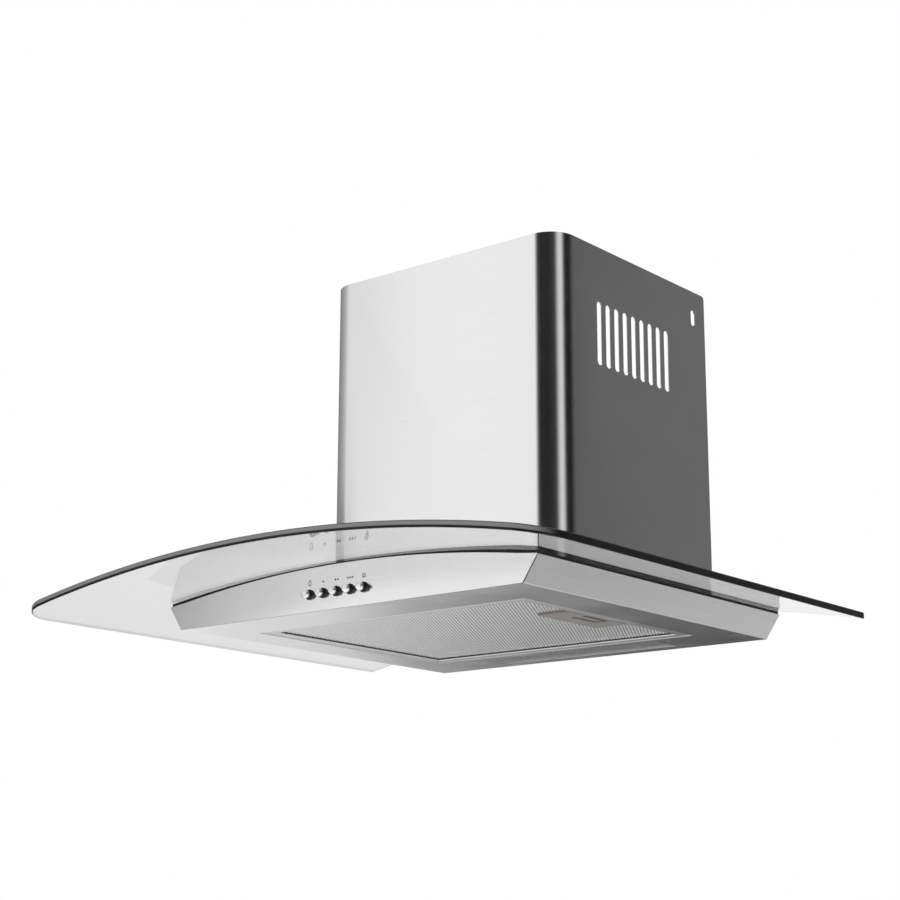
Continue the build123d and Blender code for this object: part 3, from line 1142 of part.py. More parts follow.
# ---------------------------------------------------------------- lamp
def make_lamp():
    half_x, half_y = LAMP_WIDTH / 2 + LENS_MARGIN, LAMP_DEPTH / 2 + LENS_MARGIN
    y = (LAMP_CENTRE_Y - half_y, LAMP_CENTRE_Y + half_y)
    base = BODY_SHEET
    lens_z = (base + LENS_SEAT_GAP, base + LENS_SEAT_GAP + LENS_THICKNESS)
    lens = block((-half_x, half_x), y, lens_z)
    sheet = LAMP_TRAY_SHEET
    in_x, in_y = (-half_x - LENS_GAP, half_x + LENS_GAP), shrunk(y, -LENS_GAP)
    tray = block(shrunk(in_x, -sheet), shrunk(in_y, -sheet), (base, LAMP_TRAY_TOP_Z))
    tray = tray - block(in_x, in_y, (base - 1, LAMP_TRAY_TOP_Z - sheet))
    foot = (in_x[1], in_x[1] + sheet + LAMP_TRAY_FOOT)
    fixings = []
    for side in (-1, 1):
        tray = tray + block(sorted((side * foot[0], side * foot[1])), in_y, (base, base + sheet))
        for x, screw_y in lamp_tray_screws():
            through = (base - 1, base + sheet + 1)
            tray = tray - rod("z", SMALL_SCREW[0] + SCREW_HOLE_GAP, through, (side * x, screw_y))
            fixings.append(Pos(side * x, screw_y, base + sheet) * screw(SMALL_SCREW, sheet + base - 0.2))
    holders, bulbs = [], []
    at = (LAMP_CENTRE_Y, LAMP_AXIS_Z)
    for side in (-1, 1):
        outer = in_x[1]
        inner = outer - HOLDER_LENGTH
        holder = rod("x", HOLDER_RADIUS, sorted((side * outer, side * inner)), at)
        floor = outer - HOLDER_WALL
        holders.append(holder - rod("x", HOLDER_BORE, sorted((side * (inner - 1), side * floor)), at))
        bulb = rod("x", BULB_RADIUS, sorted((side * (inner - LENS_GAP), side * (inner - BULB_LENGTH))), at)
        bulb = fillet(bulb.edges(), BULB_NOSE)
        neck = sorted((side * (inner - BULB_NOSE), side * (floor - BULB_NECK_IN)))
        bulbs.append(bulb + rod("x", BULB_NECK_RADIUS, neck, at))
    parts = [Compound(children=group) for group in (fixings, holders, bulbs)]
    return [lens, tray] + parts


# ---------------------------------------------------------------- supply parts
def make_terminal_box():
    half, wall = TERMINAL_SIZE / 2, TERMINAL_WALL
    x = (TERMINAL_X - half, TERMINAL_X + half)
    y = (TERMINAL_Y - half, TERMINAL_Y + half)
    top = BOX_TOP_Z + TERMINAL_HEIGHT
    room = block(shrunk(x, wall), shrunk(y, wall), (BOX_TOP_Z + wall, top + 1))
    base = block(x, y, (BOX_TOP_Z, top)) - room
    base = base - rod("z", WIRE_HOLE_RADIUS, (BOX_TOP_Z - 1, BOX_TOP_Z + wall + 1), (TERMINAL_X, TERMINAL_Y))
    lid = block(x, y, (top, top + wall))
    inset = wall + LID_PLUG_GAP
    lid = lid + block(shrunk(x, inset), shrunk(y, inset), (top - LID_PLUG, top))
    at = (TERMINAL_X, TERMINAL_Y)
    stem = GLAND_STEM_RADIUS
    lid = lid - rod("z", stem + GLAND_STEM_GAP, (top - LID_PLUG - 1, top + wall + 1), at)
    low, high = top + wall, top + wall + GLAND_HEIGHT
    nut = extrude(Plane(origin=(*at, low)) * RegularPolygon(GLAND_RADIUS, 6), GLAND_NUT_HEIGHT)
    gland = nut + rod("z", GLAND_DOME_RADIUS, (low + GLAND_NUT_HEIGHT, high), at)
    gland = gland + rod("z", stem, (top - GLAND_STEM_LENGTH, low + 1), at)
    gland = gland - rod("z", GLAND_BORE, (top - GLAND_STEM_LENGTH - 1, high + 1), at)
    return base, lid, gland


def make_capacitor():
    at = (CAPACITOR_X, CAPACITOR_Z)
    y = (CAPACITOR_Y - CAPACITOR_LENGTH / 2, CAPACITOR_Y + CAPACITOR_LENGTH / 2)
    can = fillet(rod("y", CAPACITOR_RADIUS, y, at).edges(), CAPACITOR_EDGE)
    thin, tall, long = CAPACITOR_TAB
    for x in (CAPACITOR_X - CAPACITOR_TAB_SPREAD, CAPACITOR_X + CAPACITOR_TAB_SPREAD):
        tab_z = (CAPACITOR_Z - tall / 2, CAPACITOR_Z + tall / 2)
        can = can + block((x - thin / 2, x + thin / 2), (y[1] - thin, y[1] + long), tab_z)
    inner = CAPACITOR_RADIUS + CLIP_GAP
    clip_y = (CAPACITOR_Y - CLIP_WIDTH / 2, CAPACITOR_Y + CLIP_WIDTH / 2)
    clip = tube("y", inner + CLIP_SHEET, inner, clip_y, at)
    wall = BOX_WIDTH / 2 - BOX_SHEET
    tab_z = (CAPACITOR_Z - CLIP_SHEET / 2, CAPACITOR_Z + CLIP_SHEET / 2)
    clip = clip + block((CAPACITOR_X + inner + CLIP_SHEET / 2, wall), clip_y, tab_z)
    foot_z = (CAPACITOR_Z - CLIP_FOOT / 2, CAPACITOR_Z + CLIP_FOOT / 2)
    return can, clip + block((wall - CLIP_SHEET, wall), clip_y, foot_z)


# ---------------------------------------------------------------- write every node
def main():
    os.makedirs("parts", exist_ok=True)
    save("body_shell", make_body_shell())
    save("front_panel", make_front_panel())
    save("panel_marks", make_panel_marks())
    save("top_plate", make_top_plate())
    save("glass_gasket", make_glass_gasket())
    save("glass_canopy", make_glass_canopy())
    for node, shape in zip(("glass_screws", "glass_bushes", "weld_nuts"), make_glass_fixings()):
        save(node, shape)
    save("chimney_cover", make_chimney_cover())
    for node, shape in zip(("chimney_brackets", "chimney_screws"), make_chimney_brackets()):
        save(node, shape)
    save("blower_box", make_blower_box())
    save("box_screws", make_box_screws())
    for node, shape in zip(("scroll_left", "scroll_right"), make_scroll()):
        save(node, shape)
    save("fan_screws", make_fan_screws())
    save("impeller", make_impeller())
    for node, shape in zip(("motor_can", "motor_bearings", "motor_shaft"), make_motor()):
        save(node, shape)
    for node, shape in zip(("motor_spider", "motor_mounts"), make_motor_spider()):
        save(node, shape)
    save("duct_collar", make_duct_collar())
    save("damper_axle", make_damper_axle())
    save("damper_flap_front", make_damper_flap(-1, FRONT_KNUCKLES))
    save("damper_flap_rear", make_damper_flap(1, REAR_KNUCKLES))
    for index, node in enumerate(BUTTON_NAMES):
        save(node, make_button(index))
        save(node.replace("button", "spring"), make_button_spring(index))
    for node, shape in zip(("switch_block", "switch_screws"), make_switch_block()):
        save(node, shape)
    save("button_bezels", make_button_bezels())
    save("filter_frame", make_filter_frame())
    for node, shape in zip(("filter_mesh_outer", "filter_mesh_inner"), make_filter_meshes()):
        save(node, shape)
    save("filter_handle", make_filter_handle())
    save("latch_slider", make_latch_slider())
    save("latch_spring", make_latch_spring())
    for node, shape in zip(("filter_pivot_pins", "filter_lugs"), make_pivots()):
        save(node, shape)
    lamp_nodes = ("lamp_lens", "lamp_tray", "lamp_screws", "lamp_holders", "lamp_bulbs")
    for node, shape in zip(lamp_nodes, make_lamp()):
        save(node, shape)
    for node, shape in zip(("terminal_box", "terminal_lid", "cable_gland"), make_terminal_box()):
        save(node, shape)
    for node, shape in zip(("capacitor", "capacitor_clip"), make_capacitor()):
        save(node, shape)


main()
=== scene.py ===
import json
import logging
import math
from abc import ABC, abstractmethod
from collections.abc import Callable
from dataclasses import dataclass
from enum import Enum
from typing import Union

import bmesh
import bpy
from mathutils import Matrix, Vector

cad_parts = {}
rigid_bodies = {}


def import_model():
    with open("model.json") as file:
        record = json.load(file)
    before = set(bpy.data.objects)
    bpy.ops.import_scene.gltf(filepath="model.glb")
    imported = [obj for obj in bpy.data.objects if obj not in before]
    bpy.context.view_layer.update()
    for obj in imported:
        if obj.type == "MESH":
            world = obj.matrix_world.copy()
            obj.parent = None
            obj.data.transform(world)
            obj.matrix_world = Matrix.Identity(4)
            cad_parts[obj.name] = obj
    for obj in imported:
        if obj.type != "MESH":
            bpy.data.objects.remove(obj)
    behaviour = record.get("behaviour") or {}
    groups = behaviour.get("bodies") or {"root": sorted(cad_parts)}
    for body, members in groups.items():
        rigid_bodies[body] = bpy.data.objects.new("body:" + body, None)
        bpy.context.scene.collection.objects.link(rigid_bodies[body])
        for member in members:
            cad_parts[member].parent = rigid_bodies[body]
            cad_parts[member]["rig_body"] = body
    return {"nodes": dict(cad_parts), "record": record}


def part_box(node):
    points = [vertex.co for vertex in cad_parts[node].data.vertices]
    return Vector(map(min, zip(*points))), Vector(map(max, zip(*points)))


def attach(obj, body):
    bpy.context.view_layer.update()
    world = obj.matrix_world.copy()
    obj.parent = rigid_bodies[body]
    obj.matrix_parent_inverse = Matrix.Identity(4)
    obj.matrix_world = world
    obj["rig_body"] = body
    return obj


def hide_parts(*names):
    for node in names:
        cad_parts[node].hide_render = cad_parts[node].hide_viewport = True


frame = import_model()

# Curved glass range hood: finishes, bent glass, folded sheets, ridged filter, studio and camera.
# Metres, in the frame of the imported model: wall plane y = 0, underside of the body z = 0.

Socket = bpy.types.NodeSocket
Mesh = bmesh.types.BMesh
Vert = bmesh.types.BMVert
Edge = bmesh.types.BMEdge
Face = bmesh.types.BMFace
LOG = logging.getLogger("hood")
MM = 0.001
NEAR = 0.001 * MM       # points this close count as one
ON_PLANE = 0.0001 * MM  # points this close to a cutting plane lie on it
Number = Union["Value", float]
Colour = tuple[float, float, float, float]
Triple = tuple[float, float, float]
Reshape = Callable[[Mesh], None]
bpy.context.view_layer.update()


class Axis(Enum):
    """An axis of the hood's frame: X along the wall, Y towards it, Z up."""

    X = 0
    Y = 1
    Z = 2


class Keep(Enum):
    """What a cut across an axis leaves."""

    BOTH = 0
    BELOW = 1
    ABOVE = -1


# ---- shader nodes
def grey(level: float, warmth: float = 0.0) -> Colour:
    """A linear grey, warmer where warmth is above 0."""
    return (level * (1 + warmth), level, level * (1 - warmth), 1.0)


class Value:
    """A number on its way through a shader; arithmetic on it adds Math nodes."""

    def __init__(self, shader: "Shader", socket: Socket) -> None:
        """Wrap one output socket of a shader."""
        self.shader = shader
        self.socket = socket

    def _math(self, operation: str, *operands: Number) -> "Value":
        """Add a Math node over the operands."""
        return self.shader.value("ShaderNodeMath", {"operation": operation}, dict(enumerate(operands)))

    def __add__(self, other: Number) -> "Value":
        """self + other"""
        return self._math("ADD", self, other)

    __radd__ = __add__

    def __sub__(self, other: Number) -> "Value":
        """self - other"""
        return self._math("SUBTRACT", self, other)

    def __rsub__(self, other: float) -> "Value":
        """other - self"""
        return self._math("SUBTRACT", other, self)

    def __mul__(self, other: Number) -> "Value":
        """self * other"""
        return self._math("MULTIPLY", self, other)

    def __gt__(self, other: Number) -> "Value":
        """1 where self is greater than other, else 0."""
        return self._math("GREATER_THAN", self, other)

    def abs(self) -> "Value":
        """Size without sign."""
        return self._math("ABSOLUTE", self)

    def sqrt(self) -> "Value":
        """Square root."""
        return self._math("SQRT", self)

    def arctan2(self, other: Number) -> "Value":
        """Angle whose tangent is self / other, in radians."""
        return self._math("ARCTAN2", self, other)

    def spread(self, level: float, low: float, high: float) -> "Value":
        """A level times low to high, over the range that noise fills."""
        return self.ramp(0.3, 0.7, level * low, level * high)

    def ramp(self, low: float, high: float, start: float = 0.0, end: float = 1.0) -> "Value":
        """Map low..high smoothly to start..end, held at both ends."""
        return self.shader.value("ShaderNodeMapRange", {"interpolation_type": "SMOOTHSTEP"}, {
            "Value": self, "From Min": low, "From Max": high, "To Min": start, "To Max": end})


class Shader:
    """A node tree with one method for any node and a few for the ones used most."""

    def __init__(self, tree: bpy.types.NodeTree) -> None:
        """Start with an empty tree."""
        self.tree = tree
        tree.nodes.clear()

    def node(self, kind: str, settings: dict | None = None, inputs: dict | None = None) -> bpy.types.Node:
        """Add a node.

        Args:
            kind: the node's type.
            settings: properties to set first; "stops" gives a colour ramp's (place, colour) pairs.
            inputs: values or links for its sockets, by name or number.

        Returns:
            The node.
        """
        made = self.tree.nodes.new(kind)
        for name, value in (settings or {}).items():
            if name == "stops":
                self._fill_ramp(made.color_ramp, value)
            else:
                setattr(made, name, value)
        for key, value in (inputs or {}).items():
            source = value.socket if isinstance(value, Value) else value
            if isinstance(source, Socket):
                self.tree.links.new(source, made.inputs[key])
            else:
                made.inputs[key].default_value = source
        return made

    @staticmethod
    def _fill_ramp(ramp: bpy.types.ColorRamp, stops: list[tuple[float, Colour]]) -> None:
        """Give a colour ramp its stops.

        Args:
            ramp: the ramp, as Blender makes it.
            stops: (place, colour) pairs in rising order.
        """
        while len(ramp.elements) > 1:
            ramp.elements.remove(ramp.elements[-1])
        ramp.elements[0].position, ramp.elements[0].color = stops[0]
        for place, colour in stops[1:]:
            ramp.elements.new(place).color = colour

    def value(self, kind: str, settings: dict | None = None, inputs: dict | None = None,
              output: int | str = 0) -> Value:
        """Add a node and take one of its outputs as a number."""
        return Value(self, self.node(kind, settings, inputs).outputs[output])

    def place(self, scale: Triple = (1.0, 1.0, 1.0)) -> Socket:
        """The surface point in the hood's own frame.

        Args:
            scale: stretch along each axis.

        Returns:
            The point.
        """
        point = self.node("ShaderNodeTexCoord").outputs["Object"]
        mapped = self.node("ShaderNodeMapping", {"vector_type": "POINT"}, {"Vector": point, "Scale": scale})
        return mapped.outputs[0]

    def along(self, axis: Axis) -> Value:
        """The surface point's place on one axis, in metres."""
        return self.value("ShaderNodeSeparateXYZ", inputs={0: self.place()}, output=axis.value)

    def facing(self, axis: Axis) -> Value:
        """How far the surface faces either way along an axis, 0 to 1."""
        normal = self.node("ShaderNodeNewGeometry").outputs["Normal"]
        return self.value("ShaderNodeSeparateXYZ", inputs={0: normal}, output=axis.value).abs()

    def mirrored(self) -> Value:
        """1 on rays that have bounced off gloss, else 0."""
        return self.value("ShaderNodeLightPath", output="Glossy Depth") > 0.5

    def noise(self, scale: float | Triple, detail: float = 2.0, roughness: float = 0.5) -> Value:
        """Noise over the surface.

        Args:
            scale: grains in a metre, in all directions or along each axis.
            detail: how many finer layers it has.
            roughness: how strong the finer layers are.

        Returns:
            The noise, 0 to 1.
        """
        place = self.place(scale if isinstance(scale, tuple) else (scale, scale, scale))
        return self.value("ShaderNodeTexNoise", {"noise_dimensions": "3D"}, {
            "Vector": place, "Scale": 1.0, "Detail": detail, "Roughness": roughness})

    def mix(self, factor: Number, first: Number, second: Number) -> Value:
        """Number between first and second."""
        return self.value("ShaderNodeMix", {"data_type": "FLOAT"}, {0: factor, 2: first, 3: second})

    def tint(self, factor: Number, first: Colour, second: Colour) -> Socket:
        """Colour between first and second."""
        return self.node("ShaderNodeMix", {"data_type": "RGBA"}, {0: factor, 6: first, 7: second}).outputs[2]

    def greys(self, factor: Value, level: float, low: float, high: float, warmth: float = 0.0) -> Socket:
        """Colour between low times and high times a grey level."""
        darker, lighter = (grey(min(1.0, level * share), warmth) for share in (low, high))
        return self.tint(factor, darker, lighter)

    def shade_of_grey(self, level: Value) -> Socket:
        """Grey colour of a level that varies over the surface."""
        return self.node("ShaderNodeCombineColor", inputs={0: level, 1: level, 2: level}).outputs[0]

    def bump(self, height: Value, depth: float) -> Socket:
        """Normal of a surface with that relief; depth in metres."""
        relief = self.node("ShaderNodeBump", inputs={"Height": height, "Distance": depth, "Strength": 1.0})
        return relief.outputs[0]

    def principled(self, inputs: dict) -> Socket:
        """Surface with the given inputs of the Principled shader."""
        return self.node("ShaderNodeBsdfPrincipled", inputs=inputs).outputs[0]

    def glow(self, colour: Socket) -> Socket:
        """Surface that shines in a colour as it is written."""
        return self.node("ShaderNodeEmission", inputs={"Color": colour, "Strength": 1.0}).outputs[0]

    def clear(self, colour: Colour) -> Socket:
        """Surface that lets light straight through, dimmed by a colour."""
        return self.node("ShaderNodeBsdfTransparent", inputs={"Color": colour}).outputs[0]

    def blend(self, factor: Value, first: Socket, second: Socket) -> Socket:
        """Surface between first and second."""
        return self.node("ShaderNodeMixShader", inputs={0: factor, 1: first, 2: second}).outputs[0]


def make_material(name: str, surface: Callable[[Shader], Socket]) -> bpy.types.Material:
    """A material with the given surface.

    Args:
        name: the material's name.
        surface: adds the surface's nodes to a shader and gives back the last one's socket.

    Returns:
        The material.
    """
    material = bpy.data.materials.new(name)
    material.use_nodes = True
    shader = Shader(material.node_tree)
    shader.node("ShaderNodeOutputMaterial", inputs={"Surface": surface(shader)})
    return material


# ---- finishes
@dataclass(frozen=True)
class Finish(ABC):
    """A finish named for the material slot that it fills; each kind has its own surface."""

    name: str

    def build(self) -> bpy.types.Material:
        """Make the material."""
        return make_material(self.name, self.surface)

    @abstractmethod
    def surface(self, s: Shader) -> Socket:
        """Add the surface's nodes to a shader and give back the last one's socket."""


@dataclass(frozen=True)
class BrushedSteel(Finish):
    """Brushed sheet: level lines round upright faces, left to right on flat ones, and faint clouds."""

    level: float = 0.78
    roughness: float = 0.24
    fine: float = 1300.0
    long: float = 8.0
    line_depth: float = 0.00012 * MM
    line_contrast: float = 0.08
    line_roughness: float = 0.06
    cloud: Triple = (14.0, 14.0, 22.0)
    cloud_contrast: float = 0.03
    cloud_roughness: float = 0.06
    # grey of the painted seam shade on the sheared edges; 0 leaves them brushed
    cut_edge_shade: float = 0.0

    def surface(self, s: Shader) -> Socket:
        """Brush the sheet, and paint shade on its sheared edges, as a dark seam, where a cut-edge grey is
        given.

        Args:
            s: the shader.

        Returns:
            The surface.
        """
        level_lines = s.noise((self.long, self.long, self.fine), detail=3.0, roughness=0.6)
        flat_lines = s.noise((self.long, self.fine, self.long), detail=3.0, roughness=0.6)
        lines = s.mix(s.facing(Axis.Z).ramp(0.6, 0.9), level_lines, flat_lines)
        clouds = s.noise(self.cloud, detail=4.0, roughness=0.55)
        tone = lines * self.line_contrast + clouds * self.cloud_contrast
        middle = (self.line_contrast + self.cloud_contrast) / 2
        bright = (tone - middle).ramp(-middle, middle)
        colour = s.greys(bright, self.level, 1 - middle, 1 + middle)
        # painted shade: faces turned away from the front take a dark grey, standing in for the seam's shadow
        # gap
        if self.cut_edge_shade:
            colour = s.tint(s.facing(Axis.Y).ramp(0.8, 0.5), colour, grey(self.cut_edge_shade))
        rough = clouds.ramp(0.35, 0.65, self.roughness * (1 - self.cloud_roughness),
                            self.roughness * (1 + self.cloud_roughness))
        return s.principled({
            "Base Color": colour, "Metallic": 1.0, "Roughness": rough + (lines - 0.5) * self.line_roughness,
            "Normal": s.bump(lines, self.line_depth)})


@dataclass(frozen=True)
class GalvanisedSheet(Finish):
    """Zinc-coated inner sheet with soft spangle."""

    level: float = 0.45
    spangle: float = 130.0
    patch: float = 16.0
    relief: float = 0.02 * MM

    def surface(self, s: Shader) -> Socket:
        """Lay spangle over the sheet, duller in patches.

        Args:
            s: the shader.

        Returns:
            The surface.
        """
        cells = s.node("ShaderNodeTexVoronoi", {"feature": "F1"},
                       {"Vector": s.place(), "Scale": self.spangle})
        patch = s.noise(self.patch, detail=4.0)
        shade_of_cell = s.value("ShaderNodeSeparateColor", inputs={0: cells.outputs["Color"]})
        return s.principled({
            "Base Color": s.tint(shade_of_cell, grey(self.level * 0.88), grey(self.level * 1.1, -0.01)),
            "Metallic": 0.9, "Roughness": patch.ramp(0.3, 0.7, 0.34, 0.5),
            "Normal": s.bump(patch, self.relief)})


@dataclass(frozen=True)
class BrightMetal(Finish):
    """Turned or drawn metal of screws and springs."""

    level: float = 0.8
    roughness: float = 0.08
    scratch: float = 900.0
    patch: float = 120.0
    relief: float = 0.002 * MM

    def surface(self, s: Shader) -> Socket:
        """Wear the metal with fine scratches and patches.

        Args:
            s: the shader.

        Returns:
            The surface.
        """
        wear = s.noise(self.scratch, detail=4.0, roughness=0.65)
        patch = s.noise(self.patch)
        return s.principled({
            "Base Color": s.greys(patch, self.level, 0.94, 1.05),
            "Metallic": 1.0, "Roughness": wear.ramp(0.4, 0.7, self.roughness * 0.8, self.roughness * 1.35),
            "Normal": s.bump(wear, self.relief)})


@dataclass(frozen=True)
class RidgedFoil(Finish):
    """Aluminium filter foil, bright on its outer crests, with painted shade in the valleys."""

    crest_z: float
    valley_z: float
    level: float = 0.98
    valley_shade_level: float = 0.62
    roughness: float = 0.32
    metallic: float = 0.9
    grain: float = 900.0
    ragged: float = 0.3 * MM
    relief: float = 0.004 * MM

    def surface(self, s: Shader) -> Socket:
        """Paint shade into the foil's valleys by its height, along a slightly ragged line.

        Args:
            s: the shader.

        Returns:
            The surface.
        """
        height = s.along(Axis.Z)
        wear = s.noise(self.grain, detail=3.0)
        # painted shade: the foil turns darker towards the valleys between the ridges
        valley = (height + (wear - 0.5) * self.ragged).ramp(self.crest_z, self.valley_z)
        return s.principled({
            "Base Color": s.tint(valley, grey(self.level), grey(self.valley_shade_level)),
            "Metallic": self.metallic, "Roughness": wear.spread(self.roughness, 0.9, 1.2),
            "Normal": s.bump(wear, self.relief)})


@dataclass(frozen=True)
class PlatedNose(Finish):
    """Bright plating on the nose of a button, and a painted dark reflection on the skirt and bezel behind it.
    """

    nose_end: float
    level: float = 0.92
    skirt_reflection_level: float = 0.035
    border: float = 0.2 * MM
    grain: float = 1500.0
    relief: float = 0.001 * MM

    def surface(self, s: Shader) -> Socket:
        """Plate what lies in front of the nose's end and paint a dark reflection over the rest.

        Args:
            s: the shader.

        Returns:
            The surface.
        """
        wear = s.noise(self.grain, detail=3.0)
        nose = s.along(Axis.Y).ramp(self.nose_end, self.nose_end - self.border)
        bright = s.mix(wear, self.level * 0.97, self.level)
        # painted reflection: the skirt and bezel are near-black, standing in for the dark surroundings they
        # mirror
        dark = s.mix(wear, self.skirt_reflection_level * 0.8, self.skirt_reflection_level * 1.3)
        return s.principled({
            "Base Color": s.shade_of_grey(s.mix(nose, dark, bright)), "Metallic": s.mix(nose, 0.6, 1.0),
            "Roughness": s.mix(nose, 0.22, 0.05) + (wear - 0.5) * 0.04, "Normal": s.bump(wear, self.relief)})


@dataclass(frozen=True)
class Moulding(Finish):
    """Moulded plastic, rubber, print or paint: fine texture over an even colour."""

    level: float = 0.1
    roughness: float = 0.5
    warmth: float = 0.0
    texture: float = 2600.0
    patch: float = 60.0
    relief: float = 0.01 * MM

    def surface(self, s: Shader) -> Socket:
        """Give the material its pores, and patches of slightly other tone.

        Args:
            s: the shader.

        Returns:
            The surface.
        """
        pores = s.noise(self.texture, detail=3.0, roughness=0.6)
        patch = s.noise(self.patch, detail=3.0)
        return s.principled({
            "Base Color": s.greys(patch, self.level, 0.88, 1.12, self.warmth),
            "Roughness": patch.spread(self.roughness, 0.9, 1.1), "Normal": s.bump(pores, self.relief)})


@dataclass(frozen=True)
class GlassShape:
    """Outline and bend of the canopy glass."""

    half_width: float = 299.98 * MM
    depth: float = 492.98 * MM
    corner: float = 33.0 * MM
    crown: float = 40.7 * MM
    radius: float = 1447.0 * MM
    thickness: float = 6.0 * MM

    def height(self, x: float, top: bool) -> float:
        """Height of the glass over the body's underside.

        Args:
            x: place across the glass.
            top: whether its upper face is meant, else its underside.

        Returns:
            The height.
        """
        lift = self.thickness if top else 0.0
        radius = self.radius + lift
        return self.crown + lift - (radius - math.sqrt(radius**2 - x**2))

    def front(self, x: float) -> float:
        """Where the front edge runs, with its rounded corners.

        Args:
            x: place across the glass.

        Returns:
            The edge's y.
        """
        past = abs(x) - (self.half_width - self.corner)
        if past <= 0:
            return -self.depth
        return -self.depth + self.corner - math.sqrt(max(0.0, self.corner**2 - past**2))


@dataclass(frozen=True)
class CanopyGlass(Finish):
    """Toughened glass, clear over its faces; from outside its ground edges are dark with painted shade and a
    painted reflection band, from within they look pale.
    """

    shape: GlassShape = GlassShape()
    tint_level: float = 0.69
    coolness: float = -0.004
    wave: float = 7.0
    wave_depth: float = 0.0015 * MM
    haze: float = 35.0
    index: float = 1.52
    from_within: float = 0.62
    side_shade_level: float = 0.010
    lower_shade_level: float = 0.006
    reflection_band_level: float = 0.20
    grain: Triple = (60.0, 60.0, 900.0)

    def surface(self, s: Shader) -> Socket:
        """Clear faces and ground edges.

        Args:
            s: the shader.

        Returns:
            The surface.
        """
        wave = s.noise(self.wave, detail=1.0)
        haze = s.noise(self.haze, detail=3.0)
        face = s.principled({
            "Base Color": s.greys(haze, self.tint_level, 0.985, 1.015, self.coolness), "Roughness": 0.0,
            "IOR": self.index, "Transmission Weight": 1.0, "Normal": s.bump(wave, self.wave_depth)})
        from_inside = s.value("ShaderNodeNewGeometry", output="Backfacing")
        edge = s.blend(from_inside, self.ground_edge(s), s.clear(grey(self.from_within)))
        return s.blend(s.facing(Axis.Z).ramp(0.90, 0.75), face, edge)

    def ground_edge(self, s: Shader) -> Socket:
        """The edge from outside, in painted light: a grey painted-reflection band over a dark painted-shade
        one at the front, and painted shade at the sides.

        Args:
            s: the shader.

        Returns:
            The surface.
        """
        shape = self.shape
        x, y, z = (s.along(axis) for axis in Axis)
        to_front = y.ramp(-shape.depth + 0.6 * shape.corner, -shape.depth + 0.1 * shape.corner)
        under = (shape.radius * shape.radius - x * x).sqrt() + (shape.crown - shape.radius)
        height = (z - under) * (1.0 / shape.thickness)
        # painted reflection: a grey band high in the glass's thickness, over painted shade below it; painted
        # shade along the sides
        band = height.ramp(0.30, 0.42) * height.ramp(0.93, 0.86)
        grain = s.noise(self.grain, detail=3.0)
        front_shade_and_reflection = s.mix(band, self.lower_shade_level, self.reflection_band_level + (grain - 0.5) * 0.05)
        return s.principled({
            "Base Color": s.shade_of_grey(s.mix(to_front, self.side_shade_level, front_shade_and_reflection)), "Roughness": 0.30,
            "Specular IOR Level": 0.25})


@dataclass(frozen=True)
class OpalGlass(Finish):
    """Frosted lamp lens or opal bulb."""

    level: float = 0.8
    roughness: float = 0.4
    clearness: float = 0.5
    frost: float = 1800.0
    patch: float = 40.0
    relief: float = 0.006 * MM

    def surface(self, s: Shader) -> Socket:
        """Frost the glass.

        Args:
            s: the shader.

        Returns:
            The surface.
        """
        frost = s.noise(self.frost, detail=3.0)
        patch = s.noise(self.patch)
        return s.principled({
            "Base Color": s.greys(patch, self.level, 0.96, 1.03),
            "Roughness": patch.spread(self.roughness, 0.9, 1.1), "IOR": 1.5,
            "Transmission Weight": self.clearness, "Normal": s.bump(frost, self.relief)})


FINISHES = (
    BrushedSteel("body_steel", 0.78, 0.25),
    BrushedSteel("panel_steel", 0.88, 0.20, cut_edge_shade=0.06),
    BrushedSteel("chimney_steel", 0.86, 0.18),
    BrushedSteel("filter_aluminium", 0.62, 0.34, line_contrast=0.06),
    RidgedFoil("mesh_aluminium", crest_z=2.57 * MM, valley_z=2.95 * MM),
    GalvanisedSheet("inner_steel"),
    BrightMetal("screw_steel", 0.62, 0.22),
    BrightMetal("spring_steel", 0.55, 0.25),
    PlatedNose("button_chrome", nose_end=-388.6 * MM),
    CanopyGlass("canopy_glass"),
    OpalGlass("lamp_frost", 0.26, 0.30, 0.35),
    OpalGlass("bulb_glass", 0.9, 0.3, 0.4),
    Moulding("seal_rubber", 0.012, 0.55),
    Moulding("print_black", 0.02, 0.45),
    Moulding("duct_plastic", 0.035, 0.5),
    Moulding("fan_plastic", 0.5, 0.45, warmth=0.02),
    Moulding("motor_paint", 0.06, 0.35),
    Moulding("switch_plastic", 0.68, 0.45, warmth=0.04),
    Moulding("terminal_plastic", 0.03, 0.5),
    Moulding("handle_grey", 0.19, 0.5, warmth=0.06),
)


# ---- pieces
def new_object(name: str, data: bpy.types.ID) -> bpy.types.Object:
    """Put an object with the given data in the scene.

    Args:
        name: the object's name.
        data: its mesh, light or camera.

    Returns:
        The object.
    """
    made = bpy.data.objects.new(name, data)
    bpy.context.scene.collection.objects.link(made)
    return made


def new_mesh_object(mesh: Mesh, name: str, material: bpy.types.Material) -> bpy.types.Object:
    """Turn a finished shape into an object.

    Args:
        mesh: the shape; it is freed.
        name: the object's name.
        material: its material.

    Returns:
        The object.
    """
    data = bpy.data.meshes.new(name)
    mesh.to_mesh(data)
    mesh.free()
    data.materials.append(material)
    return new_object(name, data)


